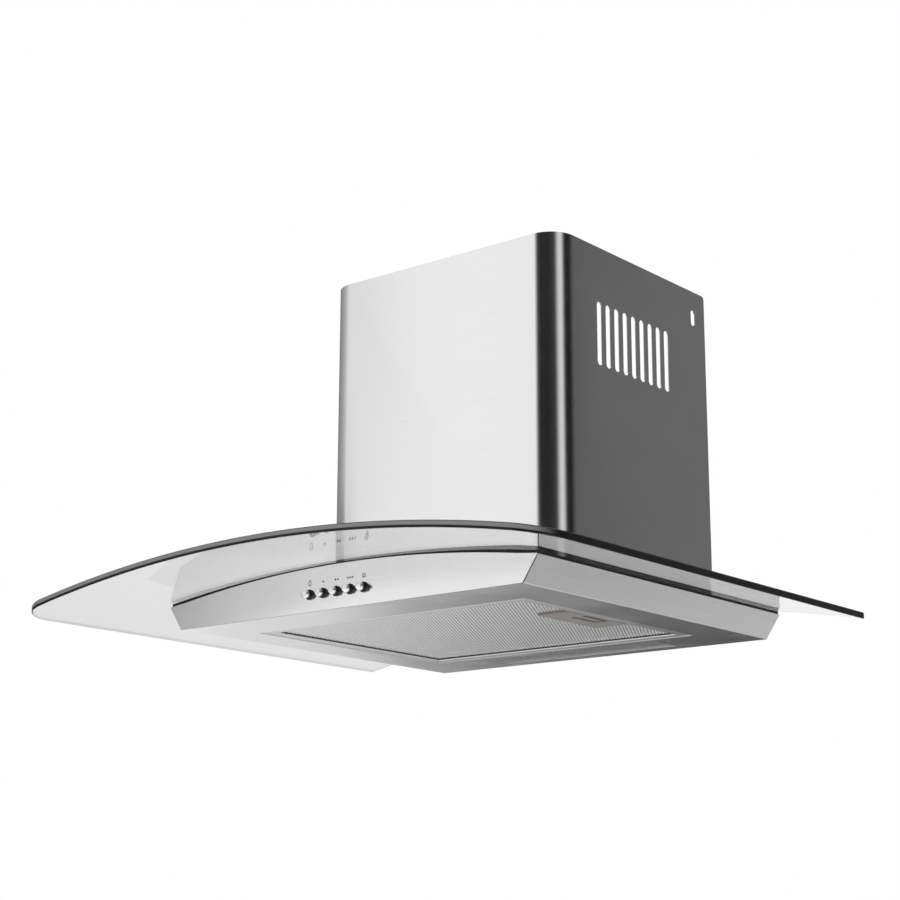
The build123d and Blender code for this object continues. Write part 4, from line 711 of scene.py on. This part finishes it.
class Stores:
    """Finished materials by slot, and what takes them."""

    def __init__(self) -> None:
        """Make the materials and read which slot each node takes its finish from."""
        self.materials = {finish.name: finish.build() for finish in FINISHES}
        self.slot_of = {row["node"]: row["material_slot"] for row in frame["record"]["subparts"]}

    def dress(self, *nodes: str) -> None:
        """Give carried-over nodes their finishes.

        Args:
            nodes: the nodes' names.
        """
        for node in nodes:
            materials = frame["nodes"][node].data.materials
            materials.clear()
            materials.append(self.materials[self.slot_of[node]])
            LOG.info("node %s takes %s", node, self.slot_of[node])

    def add(self, mesh: Mesh, name: str, node: str) -> bpy.types.Object:
        """Turn a finished shape into a piece that stands for a node and rides on its body.

        Args:
            mesh: the shape, in metres in the hood's frame; it is freed.
            name: the piece's name.
            node: the node it stands for.

        Returns:
            The piece.
        """
        slot = self.slot_of[node]
        body = frame["nodes"][node]["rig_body"]
        piece = new_mesh_object(mesh, name, self.materials[slot])
        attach(piece, body)
        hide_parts(node)
        LOG.info("piece %s stands for %s on body %s", name, node, body)
        return piece


STORES = Stores()


# ---- shape helpers
def shade(mesh: Mesh, angle: float = 32.0) -> None:
    """Smooth every face and keep the sharp edges sharp.

    Args:
        mesh: the mesh.
        angle: edges that turn by more than this many degrees are sharp.
    """
    limit = math.radians(angle)
    for face in mesh.faces:
        face.smooth = True
    for edge in mesh.edges:
        edge.smooth = not (edge.is_manifold and edge.calc_face_angle(0.0) > limit)


def around(faces: list[Face], kind: str) -> list[Edge | Vert]:
    """The edges or points of some faces, each one once; kind is "edges" or "verts"."""
    return list(dict.fromkeys(part for face in faces for part in getattr(face, kind)))


def only(kind: type, parts: list) -> list:
    """The parts of one kind: points, edges or faces."""
    return [part for part in parts if isinstance(part, kind)]


def faces_between(mesh: Mesh, low: tuple[float, float], high: tuple[float, float]) -> list[Face]:
    """The faces whose middle lies between two corners, seen from above."""
    middles = ((face, face.calc_center_median()) for face in mesh.faces)
    return [face for face, at in middles if low[0] < at.x < high[0] and low[1] < at.y < high[1]]


def cut_across(mesh: Mesh, axis: Axis, at: float, keep: Keep = Keep.BOTH,
               faces: list[Face] | None = None) -> None:
    """Split faces along a plane square to an axis.

    Args:
        mesh: the mesh to split.
        axis: the axis.
        at: where on the axis the plane stands.
        keep: which side of the plane stays.
        faces: the faces to split, all of them if left out.
    """
    faces = list(mesh.faces) if faces is None else faces
    point, normal = Vector((0.0, 0.0, 0.0)), Vector((0.0, 0.0, 0.0))
    point[axis.value] = at
    normal[axis.value] = -1.0 if keep is Keep.ABOVE else 1.0
    parts = [*around(faces, "verts"), *around(faces, "edges"), *faces]
    bmesh.ops.bisect_plane(mesh, geom=parts, dist=ON_PLANE, plane_co=point, plane_no=normal,
                           clear_outer=keep is not Keep.BOTH)


def copy_of(node: str, weld: float = 0.002 * MM, flat_angle: float = 0.4) -> Mesh:
    """A merged copy of a node's mesh, with its flat faces joined up.

    Args:
        node: the node to copy.
        weld: points closer than this are merged.
        flat_angle: faces within this many degrees are joined.

    Returns:
        The copy.
    """
    mesh = bmesh.new()
    mesh.from_mesh(frame["nodes"][node].data)
    bmesh.ops.remove_doubles(mesh, verts=mesh.verts, dist=weld)
    bmesh.ops.dissolve_limit(mesh, angle_limit=math.radians(flat_angle), use_dissolve_boundaries=False,
                             verts=mesh.verts, edges=mesh.edges)
    return mesh


def soften(piece: bpy.types.Object, width: float, angle: float = 40.0, segments: int = 2) -> None:
    """Round the sharp edges of a piece, with even normals over them.

    Args:
        piece: the piece.
        width: how wide the rounding is, in metres.
        angle: edges that turn by more than this many degrees are rounded.
        segments: facets across the rounding.
    """
    bevel = piece.modifiers.new("edge_round", "BEVEL")
    bevel.width = width
    bevel.segments = segments
    bevel.limit_method = "ANGLE"
    bevel.angle_limit = math.radians(angle)
    bevel.harden_normals = True
    bevel.use_clamp_overlap = True


def folded_sheet(node: str, name: str, edge: float, reshape: Reshape | None = None) -> None:
    """Make a node's sheet again, with softened edges and smooth bends.

    Args:
        node: the sheet it stands for.
        name: the piece's name.
        edge: width of the rounding along its edges, in metres.
        reshape: what to do to the copy first, if anything.
    """
    mesh = copy_of(node)
    if reshape:
        reshape(mesh)
    shade(mesh)
    soften(STORES.add(mesh, name, node), edge)


# ---- glass canopy
@dataclass
class Canopy:
    """The bent glass over the body, its seal and the fixings that clamp it."""

    shape: GlassShape = GlassShape()
    corner_steps: int = 14
    step: float = 6.0 * MM
    notch_half: float = 113.0 * MM
    notch_front: float = -217.0 * MM
    steps_ahead: int = 6
    steps_behind: int = 5
    holes: tuple[tuple[float, float], ...] = (
        (126.0 * MM, -50.0 * MM), (126.0 * MM, -170.0 * MM), (60.0 * MM, -234.5 * MM))
    hole_radius: float = 4.6 * MM
    hole_steps: int = 24
    hole_cell: float = 9.0 * MM
    hole_reach: float = 60.0 * MM
    arris: float = 0.9 * MM
    arris_angle: float = 50.0
    crease_angle: float = 20.0

    def build(self) -> None:
        """Make the glass and dress the seal and the fixings."""
        STORES.add(self.bent_sheet(), "canopy_glass_sheet", "glass_canopy")
        STORES.dress("glass_gasket", "glass_bushes", "glass_screws", "weld_nuts")

    def bent_sheet(self) -> Mesh:
        """Lay the sheet out flat, drill it, bend it and break its arrises.

        Returns:
            The glass.
        """
        mesh = bmesh.new()
        self.lay_out(mesh)
        for x, y in self.holes:
            for side in (-1, 1):
                self.drill(mesh, side * x, y)
        self.thicken(mesh)
        self.break_arrises(mesh)
        shade(mesh, self.crease_angle)
        return mesh

    def stations(self) -> list[float]:
        """Places across the glass where the sheet gets a row of points, left to right.

        Returns:
            The places, close together round the corners and on the notch's two sides.
        """
        inner = self.shape.half_width - self.shape.corner
        turns = [math.pi / 2 * i / self.corner_steps for i in range(1, self.corner_steps + 1)]
        right = [inner + self.shape.corner * math.sin(turn) for turn in turns]
        plain = round(2 * inner / self.step)
        middle = [-inner + 2 * inner * i / plain for i in range(plain + 1)]
        kept = [x for x in middle if abs(abs(x) - self.notch_half) > self.step / 2]
        return [-x for x in reversed(right)] + sorted(kept + [-self.notch_half, self.notch_half]) + right

    def lay_out(self, mesh: Mesh) -> None:
        """Extrude a front-to-back line from station to station, and leave the chimney's notch open.

        Args:
            mesh: the empty mesh that takes the flat sheet.
        """
        places = self.stations()
        front = self.shape.front(places[0])
        ahead = [front + (self.notch_front - front) * i / self.steps_ahead for i in range(self.steps_ahead)]
        behind = [self.notch_front * (1 - i / self.steps_behind) for i in range(self.steps_behind + 1)]
        line = self.row(mesh, places[0], ahead + behind)
        for last, x in zip(places, places[1:]):
            if -self.notch_half - NEAR < last < self.notch_half - NEAR:
                line = [edge for edge in line if not self.in_notch(edge)]
            grown = bmesh.ops.extrude_edge_only(mesh, edges=line)["geom"]
            for vert in only(Vert, grown):
                self.carry(vert, x)
            line = only(Edge, grown)
            if abs(x - self.notch_half) < NEAR:
                line += self.row(mesh, x, behind)
        bmesh.ops.remove_doubles(mesh, verts=mesh.verts, dist=NEAR)

    @staticmethod
    def row(mesh: Mesh, x: float, ys: list[float]) -> list[Edge]:
        """A line of edges from front to back through the given places."""
        verts = [mesh.verts.new((x, y, 0.0)) for y in ys]
        return [mesh.edges.new(pair) for pair in zip(verts, verts[1:])]

    def in_notch(self, edge: Edge) -> bool:
        """Whether an edge lies behind the notch's front edge."""
        return (edge.verts[0].co.y + edge.verts[1].co.y) / 2 > self.notch_front

    def carry(self, vert: Vert, x: float) -> None:
        """Move a point to the next station, at its share of the way from the front edge to the notch.

        Args:
            vert: the point.
            x: the station.
        """
        old, new = self.shape.front(vert.co.x), self.shape.front(x)
        if vert.co.y < self.notch_front - NEAR:
            share = (vert.co.y - old) / (self.notch_front - old)
            vert.co.y = new + share * (self.notch_front - new)
        vert.co.x = x

    def drill(self, mesh: Mesh, x: float, y: float) -> None:
        """Cut one clamp hole: part off a square cell round it and bridge its rim to a circle.

        Args:
            mesh: the flat sheet.
            x: the hole's place across the glass.
            y: the hole's place from the wall.
        """
        cell = self.hole_cell
        for axis, at in ((Axis.X, x - cell), (Axis.X, x + cell), (Axis.Y, y - cell), (Axis.Y, y + cell)):
            cut_across(mesh, axis, at, faces=self.faces_round(mesh, x, y, self.hole_reach))
        faces = self.faces_round(mesh, x, y, cell)
        inner = [edge for edge in around(faces, "edges")
                 if len(edge.link_faces) == 2 and all(face in faces for face in edge.link_faces)]
        if inner:
            bmesh.ops.dissolve_edges(mesh, edges=inner, use_verts=False)
        faces = self.faces_round(mesh, x, y, cell)
        rim = around(faces, "edges")
        bmesh.ops.delete(mesh, geom=faces, context="FACES_ONLY")
        middle = Matrix.Translation((x, y, 0.0))
        ring = bmesh.ops.create_circle(mesh, cap_ends=False, segments=self.hole_steps,
                                       radius=self.hole_radius, matrix=middle)["verts"]
        circle = list(dict.fromkeys(edge for vert in ring for edge in vert.link_edges))
        bmesh.ops.bridge_loops(mesh, edges=rim + circle)

    @staticmethod
    def faces_round(mesh: Mesh, x: float, y: float, reach: float) -> list[Face]:
        """Faces whose middle lies within reach of a point, along both axes."""
        return faces_between(mesh, (x - reach, y - reach), (x + reach, y + reach))

    def thicken(self, mesh: Mesh) -> None:
        """Give the flat sheet its upper face and bend both.

        Args:
            mesh: the flat sheet.
        """
        grown = bmesh.ops.extrude_face_region(mesh, geom=list(mesh.faces), use_keep_orig=True)["geom"]
        top = set(only(Vert, grown))
        for vert in mesh.verts:
            vert.co.z = self.shape.height(vert.co.x, vert in top)
        bmesh.ops.recalc_face_normals(mesh, faces=mesh.faces)

    def break_arrises(self, mesh: Mesh) -> None:
        """Bevel the rims of both faces, but not the upright corners between them.

        Args:
            mesh: the bent glass.
        """
        limit = math.radians(self.arris_angle)
        rims = [edge for edge in mesh.edges if edge.is_manifold and edge.calc_face_angle(0.0) > limit
                and abs(edge.verts[0].co.z - edge.verts[1].co.z) < self.shape.thickness / 2]
        bmesh.ops.bevel(mesh, geom=rims, offset=self.arris, offset_type="OFFSET", segments=2, profile=0.5,
                        affect="EDGES", material=-1)


# ---- steel body and chimney
@dataclass
class Cabinet:
    """Pan, front panel, top plate and printed marks."""

    shell_edge: float = 0.25 * MM
    panel_edge: float = 0.3 * MM
    crown: float = 38.9 * MM
    radius: float = 1279.0 * MM
    half_top: float = 212.0 * MM
    rim_depth: float = 1.6 * MM
    front_lift: float = 0.4 * MM
    side_lift: float = 1.2 * MM
    side_lean: float = 0.697

    def build(self) -> None:
        """Make the outer sheets and dress what lies inside."""
        folded_sheet("body_shell", "body_pan_sheet", self.shell_edge, self.raise_rim)
        folded_sheet("front_panel", "front_panel_sheet", self.panel_edge, self.raise_rim)
        STORES.dress("panel_marks", "top_plate")

    def raise_rim(self, mesh: Mesh) -> None:
        """Carry the upper rim up past the foot of the seal, along the lean of the side walls.

        Args:
            mesh: the sheet.
        """
        for vert in mesh.verts:
            x = min(abs(vert.co.x), self.half_top)
            top = self.crown - (self.radius - math.sqrt(self.radius**2 - x**2))
            if vert.co.z < top - self.rim_depth:
                continue
            on_side = x > self.half_top - self.rim_depth
            lift = self.side_lift if on_side else self.front_lift
            vert.co.z += lift
            if on_side:
                vert.co.x += math.copysign(lift * self.side_lean, vert.co.x)


@dataclass
class Chimney:
    """Cover of the blower, with rounded front corners and vent slots."""

    edge: float = 0.25 * MM

    def build(self) -> None:
        """Make the cover and dress its brackets and screws."""
        folded_sheet("chimney_cover", "chimney_sheet", self.edge)
        STORES.dress("chimney_brackets", "chimney_screws")


# ---- push buttons
@dataclass
class Controls:
    """Five chromed push buttons in turned bezels, over their switch block."""

    names: tuple[str, ...] = ("off", "speed_1", "speed_2", "speed_3", "light")

    def build(self) -> None:
        """Dress the buttons, their springs and bezels, and the switch block."""
        for name in self.names:
            STORES.dress("button_" + name, "spring_" + name)
        STORES.dress("button_bezels", "switch_block", "switch_screws")


# ---- grease filter
@dataclass
class GreaseFilter:
    """Cassette with mitred lips, ridged foil, handle tray and finger latch."""

    centre_y: float = -194.0 * MM
    half_x: float = 154.5 * MM
    half_y: float = 130.0 * MM
    low: float = 0.4 * MM
    high: float = 9.4 * MM
    lip: float = 11.0 * MM
    lip_return: float = 0.9 * MM
    sheet: float = 0.8 * MM
    bend: float = 1.4 * MM
    bend_steps: int = 5
    mitre_gap: float = 0.22 * MM
    fold_edge: float = 0.12 * MM
    fold_angle: float = 50.0
    frame_crease: float = 35.0
    mesh_half_x: float = 151.5 * MM
    mesh_half_y: float = 127.0 * MM
    ridge_pitch: float = 3.0 * MM
    ridge_height: float = 0.45 * MM
    ridge_steps: int = 8
    ridge_turn: float = 30.0
    ridge_level: float = 2.75 * MM
    ridge_crease: float = 60.0
    foil: float = 0.2 * MM
    pocket_margin: float = 0.4 * MM

    def build(self) -> None:
        """Make the cassette's frame and foil, and dress the rest."""
        frame_piece = STORES.add(self.mitred_frame(), "filter_frame_folded", "filter_frame")
        soften(frame_piece, self.fold_edge, self.fold_angle, segments=1)
        STORES.add(self.ridged_foil(), "filter_mesh_ridges", "filter_mesh_outer")
        STORES.dress("filter_mesh_inner", "filter_handle", "latch_slider", "latch_spring",
                     "filter_pivot_pins", "filter_lugs")

    def section(self) -> list[tuple[float, float]]:
        """Section of the frame, from its wall's top edge to the rim of its lip.

        Returns:
            (inset, height) pairs.
        """
        turns = [math.pi / 2 * i / self.bend_steps for i in range(self.bend_steps + 1)]
        bent = [(self.bend * (1 - math.cos(turn)), self.low + self.bend * (1 - math.sin(turn)))
                for turn in turns]
        return [(0.0, self.high), *bent, (self.lip - self.lip_return, self.low),
                (self.lip, self.low + self.lip_return)]

    def mitred_frame(self) -> Mesh:
        """Extrude the section along each side, from mitre to mitre, and fold the strips from sheet.

        Returns:
            The frame.
        """
        mesh = bmesh.new()
        signs = ((-1, -1), (1, -1), (1, 1), (-1, 1))
        for start, end in zip(signs, signs[1:] + signs[:1]):
            along = Vector((end[0] - start[0], end[1] - start[1], 0.0)).normalized() * self.mitre_gap / 2
            line = [mesh.verts.new(self.corner(start, *point) + along) for point in self.section()]
            edges = [mesh.edges.new(pair) for pair in zip(line, line[1:])]
            grown = bmesh.ops.extrude_edge_only(mesh, edges=edges)["geom"]
            far = sorted(only(Vert, grown), key=self.order)
            for vert, point in zip(far, sorted(self.section(), key=self.rank)):
                vert.co = self.corner(end, *point) - along
            self.face_out(mesh, only(Face, grown))
        bmesh.ops.solidify(mesh, geom=list(mesh.faces), thickness=self.sheet)
        shade(mesh, self.frame_crease)
        return mesh

    def corner(self, sign: tuple[int, int], inset: float, height: float) -> Vector:
        """A section point at one mitre."""
        x, y = sign[0] * (self.half_x - inset), self.centre_y + sign[1] * (self.half_y - inset)
        return Vector((x, y, height))

    def order(self, vert: Vert) -> tuple[float, float]:
        """Sort key of a point at a mitre: its height, then how far out it lies."""
        return (round(vert.co.z, 7), round(abs(vert.co.x) + abs(vert.co.y - self.centre_y), 7))

    @staticmethod
    def rank(point: tuple[float, float]) -> tuple[float, float]:
        """Sort key that puts (inset, height) pairs in the same order."""
        return (round(point[1], 7), round(-point[0], 7))

    def face_out(self, mesh: Mesh, strip: list[Face]) -> None:
        """Turn the faces of one strip away from the cassette's inside.

        Args:
            mesh: the frame under way.
            strip: the faces of the strip.
        """
        bmesh.ops.recalc_face_normals(mesh, faces=strip)
        inside = Vector((0.0, self.centre_y, self.half_x))
        if sum(face.normal.dot(face.calc_center_median() - inside) * face.calc_area() for face in strip) < 0:
            bmesh.ops.reverse_faces(mesh, faces=strip)

    def ridged_foil(self) -> Mesh:
        """Fold a grid into waves, turn it, trim it to the frame and leave room for the handle.

        Returns:
            The foil.
        """
        reach = math.hypot(self.mesh_half_x, self.mesh_half_y)
        ridges = math.ceil(2 * reach / self.ridge_pitch)
        half = ridges * self.ridge_pitch / 2
        mesh = bmesh.new()
        bmesh.ops.create_grid(mesh, x_segments=ridges * self.ridge_steps, y_segments=1, size=1.0,
                              matrix=Matrix.Diagonal((half, reach, 1.0, 1.0)))
        for vert in mesh.verts:
            vert.co.z = self.ridge_height / 2 * math.cos(2 * math.pi * vert.co.x / self.ridge_pitch)
        turn = Matrix.Rotation(math.radians(self.ridge_turn), 3, "Z")
        bmesh.ops.rotate(mesh, verts=mesh.verts, matrix=turn)
        bmesh.ops.translate(mesh, verts=mesh.verts, vec=(0.0, self.centre_y, self.ridge_level))
        spans = ((Axis.X, 0.0, self.mesh_half_x), (Axis.Y, self.centre_y, self.mesh_half_y))
        for axis, middle, size in spans:
            for keep in (Keep.BELOW, Keep.ABOVE):
                cut_across(mesh, axis, middle + keep.value * size, keep)
        self.cut_pocket(mesh)
        mesh.normal_update()
        if sum(face.normal.z for face in mesh.faces) > 0:
            bmesh.ops.reverse_faces(mesh, faces=mesh.faces)
        bmesh.ops.solidify(mesh, geom=list(mesh.faces), thickness=self.foil)
        shade(mesh, self.ridge_crease)
        return mesh

    def cut_pocket(self, mesh: Mesh) -> None:
        """Leave room for the handle tray.

        Args:
            mesh: the foil.
        """
        low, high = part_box("filter_handle")
        margin = self.pocket_margin
        low = (low[0] - margin, low[1] - margin)
        high = (high[0] + margin, high[1] + margin)
        for axis in (Axis.X, Axis.Y):
            cut_across(mesh, axis, low[axis.value])
            cut_across(mesh, axis, high[axis.value])
        bmesh.ops.delete(mesh, geom=faces_between(mesh, low, high), context="FACES")


# ---- lamp, blower and duct
@dataclass
class Lamp:
    """Lens, tray, holders and bulbs in the rear strip of the underside."""

    nodes: tuple[str, ...] = ("lamp_lens", "lamp_tray", "lamp_screws", "lamp_holders", "lamp_bulbs")

    def build(self) -> None:
        """Dress the lamp's parts."""
        STORES.dress(*self.nodes)


@dataclass
class Blower:
    """Box, fan, motor, supply parts and duct collar inside the chimney."""

    nodes: tuple[str, ...] = (
        "blower_box", "box_screws", "scroll_left", "scroll_right", "fan_screws", "impeller", "motor_can",
        "motor_bearings", "motor_shaft", "motor_spider", "motor_mounts", "duct_collar", "damper_axle",
        "damper_flap_front", "damper_flap_rear", "terminal_box", "terminal_lid", "cable_gland", "capacitor",
        "capacitor_clip")

    def build(self) -> None:
        """Dress the inner parts."""
        STORES.dress(*self.nodes)


# ---- studio
@dataclass(frozen=True)
class Softbox:
    """A soft lamp that lights matt surfaces, and that nothing mirrors or shows."""

    name: str
    place: Triple
    target: Triple
    size: float
    power: float

    def hang(self) -> None:
        """Put the lamp at its place, aimed at its target."""
        data = bpy.data.lights.new(self.name, "AREA")
        data.shape = "SQUARE"
        data.size = self.size
        data.energy = self.power
        lamp = new_object(self.name, data)
        lamp.location = self.place
        lamp.rotation_mode = "QUATERNION"
        lamp.rotation_quaternion = (Vector(self.target) - Vector(self.place)).to_track_quat("-Z", "Y")
        lamp.visible_camera = False
        lamp.visible_glossy = False
        lamp.visible_transmission = False


@dataclass(frozen=True)
class GlowWall:
    """A curved grey wall round the hood that shows only in gloss.

    Angles run in degrees from straight in front, positive towards +X. The levels are (angle, grey) pairs, and
    low and high are the heights of its edges as angles of sight from the hood.
    """

    name: str
    low: float
    high: float
    levels: tuple[tuple[float, float], ...]
    radius: float = 3.2
    step: float = 2.0

    @property
    def start(self) -> float:
        """First angle."""
        return self.levels[0][0]

    @property
    def sweep(self) -> float:
        """Angle from end to end."""
        return self.levels[-1][0] - self.levels[0][0]

    def mesh(self) -> Mesh:
        """Spin an upright line into the wall.

        Returns:
            The wall.
        """
        mesh = bmesh.new()
        turn = math.radians(self.start)
        x, y = self.radius * math.sin(turn), -self.radius * math.cos(turn)
        heights = [self.radius * math.tan(math.radians(angle)) for angle in (self.low, self.high)]
        verts = [mesh.verts.new((x, y, z)) for z in heights]
        edge = mesh.edges.new(verts)
        bmesh.ops.spin(mesh, geom=[*verts, edge], cent=(0, 0, 0), axis=(0, 0, 1),
                       angle=math.radians(self.sweep), steps=round(self.sweep / self.step),
                       use_merge=False, use_duplicate=False)
        return mesh

    def surface(self, s: Shader) -> Socket:
        """A glow that follows the levels from angle to angle, seen only in gloss.

        Args:
            s: the shader.

        Returns:
            The surface.
        """
        x, y = s.along(Axis.X), s.along(Axis.Y)
        middle = math.radians(self.start + self.sweep / 2)
        across = x * math.cos(middle) + y * math.sin(middle)
        outward = x * math.sin(middle) - y * math.cos(middle)
        share = across.arctan2(outward) * (1 / math.radians(self.sweep)) + 0.5
        stops = [((angle - self.start) / self.sweep, grey(level)) for angle, level in self.levels]
        ramp = s.node("ShaderNodeValToRGB", {"stops": stops}, {"Fac": share})
        return s.blend(s.mirrored(), s.clear(grey(1.0)), s.glow(ramp.outputs[0]))


@dataclass
class Studio:
    """Floor, white surroundings, soft lamps, grey reflector walls and the camera."""

    light_level: float = 0.55
    floor_z: float = -1.6
    floor_half: float = 6.0
    floor_mottle: float = 3.0
    floor_levels: tuple[float, float] = (0.80, 0.84)
    mirrored_floor_levels: tuple[float, float] = (0.98, 1.0)
    camera_place: Triple = (1.1013, -1.5839, -0.2718)
    camera_turn: float = 39.2
    camera_tilt: float = 0.2484
    camera_roll: float = 0.003
    focal_pixels: float = 1909.0
    frame_pixels: float = 900.0
    sensor: float = 36.0
    softboxes: tuple[Softbox, ...] = (
        Softbox("key_softbox", (-2.2, -2.6, 1.9), (0.0, -0.2, 0.1), 1.8, 52.0),
        Softbox("fill_softbox", (2.4, -1.8, 0.6), (0.0, -0.2, 0.1), 1.6, 14.0),
        Softbox("under_softbox", (0.4, -1.0, -1.3), (0.4, -1.0, 0.0), 1.4, 11.0),
    )
    walls: tuple[GlowWall, ...] = (
        GlowWall("right_wall", -6.0, 40.0, (
            (-24, 0.60), (-16, 0.05), (-5, 0.02), (30, 0.02), (52, 0.05), (67, 0.70), (77, 0.72), (90, 0.025),
            (112, 0.010), (130, 0.08), (141, 0.144), (160, 0.14))),
        GlowWall("left_wall", 13.0, 50.0, (
            (-150, 0.12), (-110, 0.24), (-80, 0.34), (-60, 0.48), (-47, 0.69), (-43.5, 0.84), (-38, 1.0))),
        GlowWall("left_low_wall", -24.0, 13.0, (
            (-110, 0.20), (-60, 0.05), (-50, 0.05), (-46, 0.17), (-43, 0.74), (-40.5, 1.0), (-30, 1.0))),
        GlowWall("back_wall", -20.0, -1.5, (
            (196, 0.08), (211, 0.07), (215, 0.07), (219, 0.16), (223, 0.26), (228, 0.76), (234, 0.82))),
        GlowWall("back_low_wall", -38.0, -19.5, (
            (180, 0.26), (196, 0.24), (210, 0.20), (213, 0.22)), 2.0),
        GlowWall("right_low_wall", -45.0, -8.0, (
            (128, 0.34), (145, 0.44), (149, 0.60), (153, 0.64), (176, 0.64)), 1.5),
    )

    def build(self) -> None:
        """Set up everything round the hood."""
        bpy.context.scene.view_settings.view_transform = "Standard"
        self.surroundings()
        self.floor()
        self.build_walls()
        for softbox in self.softboxes:
            softbox.hang()
        self.camera()

    def surroundings(self) -> None:
        """White where the camera, gloss or glass looks; a plain level for the light itself."""
        world = bpy.data.worlds.new("studio_surroundings")
        world.use_nodes = True
        bpy.context.scene.world = world
        s = Shader(world.node_tree)
        path = s.node("ShaderNodeLightPath").outputs
        looks = [Value(s, path[ray]) for ray in ("Is Camera Ray", "Is Glossy Ray", "Is Transmission Ray")]
        seen = (looks[0] + looks[1] + looks[2]) > 0.5
        colour = s.tint(seen, grey(self.light_level), grey(1.0))
        back = s.node("ShaderNodeBackground", inputs={"Color": colour, "Strength": 1.0})
        s.node("ShaderNodeOutputWorld", inputs={"Surface": back.outputs[0]})

    def floor(self) -> None:
        """Plain pale floor, far below the hood."""
        mesh = bmesh.new()
        bmesh.ops.create_grid(mesh, x_segments=1, y_segments=1, size=self.floor_half,
                              matrix=Matrix.Translation((0.0, 0.0, self.floor_z)))
        paint = make_material("studio_floor_paint", self.floor_surface)
        new_mesh_object(mesh, "studio_floor", paint)

    def floor_surface(self, s: Shader) -> Socket:
        """Pale and matt with a faint mottle, and white in gloss.

        Args:
            s: the shader.

        Returns:
            The surface.
        """
        mottle = s.noise(self.floor_mottle, detail=3.0)
        matt_colour, lit_colour = (s.tint(mottle, grey(levels[0]), grey(levels[1]))
                                   for levels in (self.floor_levels, self.mirrored_floor_levels))
        matt = s.principled({"Base Color": matt_colour, "Roughness": 0.9})
        return s.blend(s.mirrored(), matt, s.glow(lit_colour))

    def build_walls(self) -> None:
        """Set the reflector walls round the hood, for gloss alone."""
        for wall in self.walls:
            piece = new_mesh_object(wall.mesh(), wall.name, make_material(wall.name + "_glow", wall.surface))
            piece.visible_camera = False
            piece.visible_diffuse = False
            piece.visible_shadow = False

    def camera(self) -> None:
        """The photograph's viewpoint."""
        data = bpy.data.cameras.new("photo_view")
        data.sensor_width = self.sensor
        data.lens = self.focal_pixels / self.frame_pixels * self.sensor
        camera = new_object("photo_view", data)
        turn = Matrix.Rotation(math.radians(self.camera_turn), 4, "Z")
        tilt = Matrix.Rotation(math.pi / 2 + self.camera_tilt, 4, "X")
        roll = Matrix.Rotation(self.camera_roll, 4, "Z")
        camera.matrix_world = Matrix.Translation(self.camera_place) @ turn @ tilt @ roll
        bpy.context.scene.camera = camera


def main() -> None:
    """Set up the studio, then build every sub-assembly in order."""
    logging.basicConfig(level=logging.INFO, format="%(name)s: %(message)s")
    for assembly in (Studio(), Canopy(), Cabinet(), Chimney(), Controls(), GreaseFilter(), Lamp(), Blower()):
        assembly.build()
        LOG.info("built %s", type(assembly).__name__)


if __name__ == "__main__":
    main()
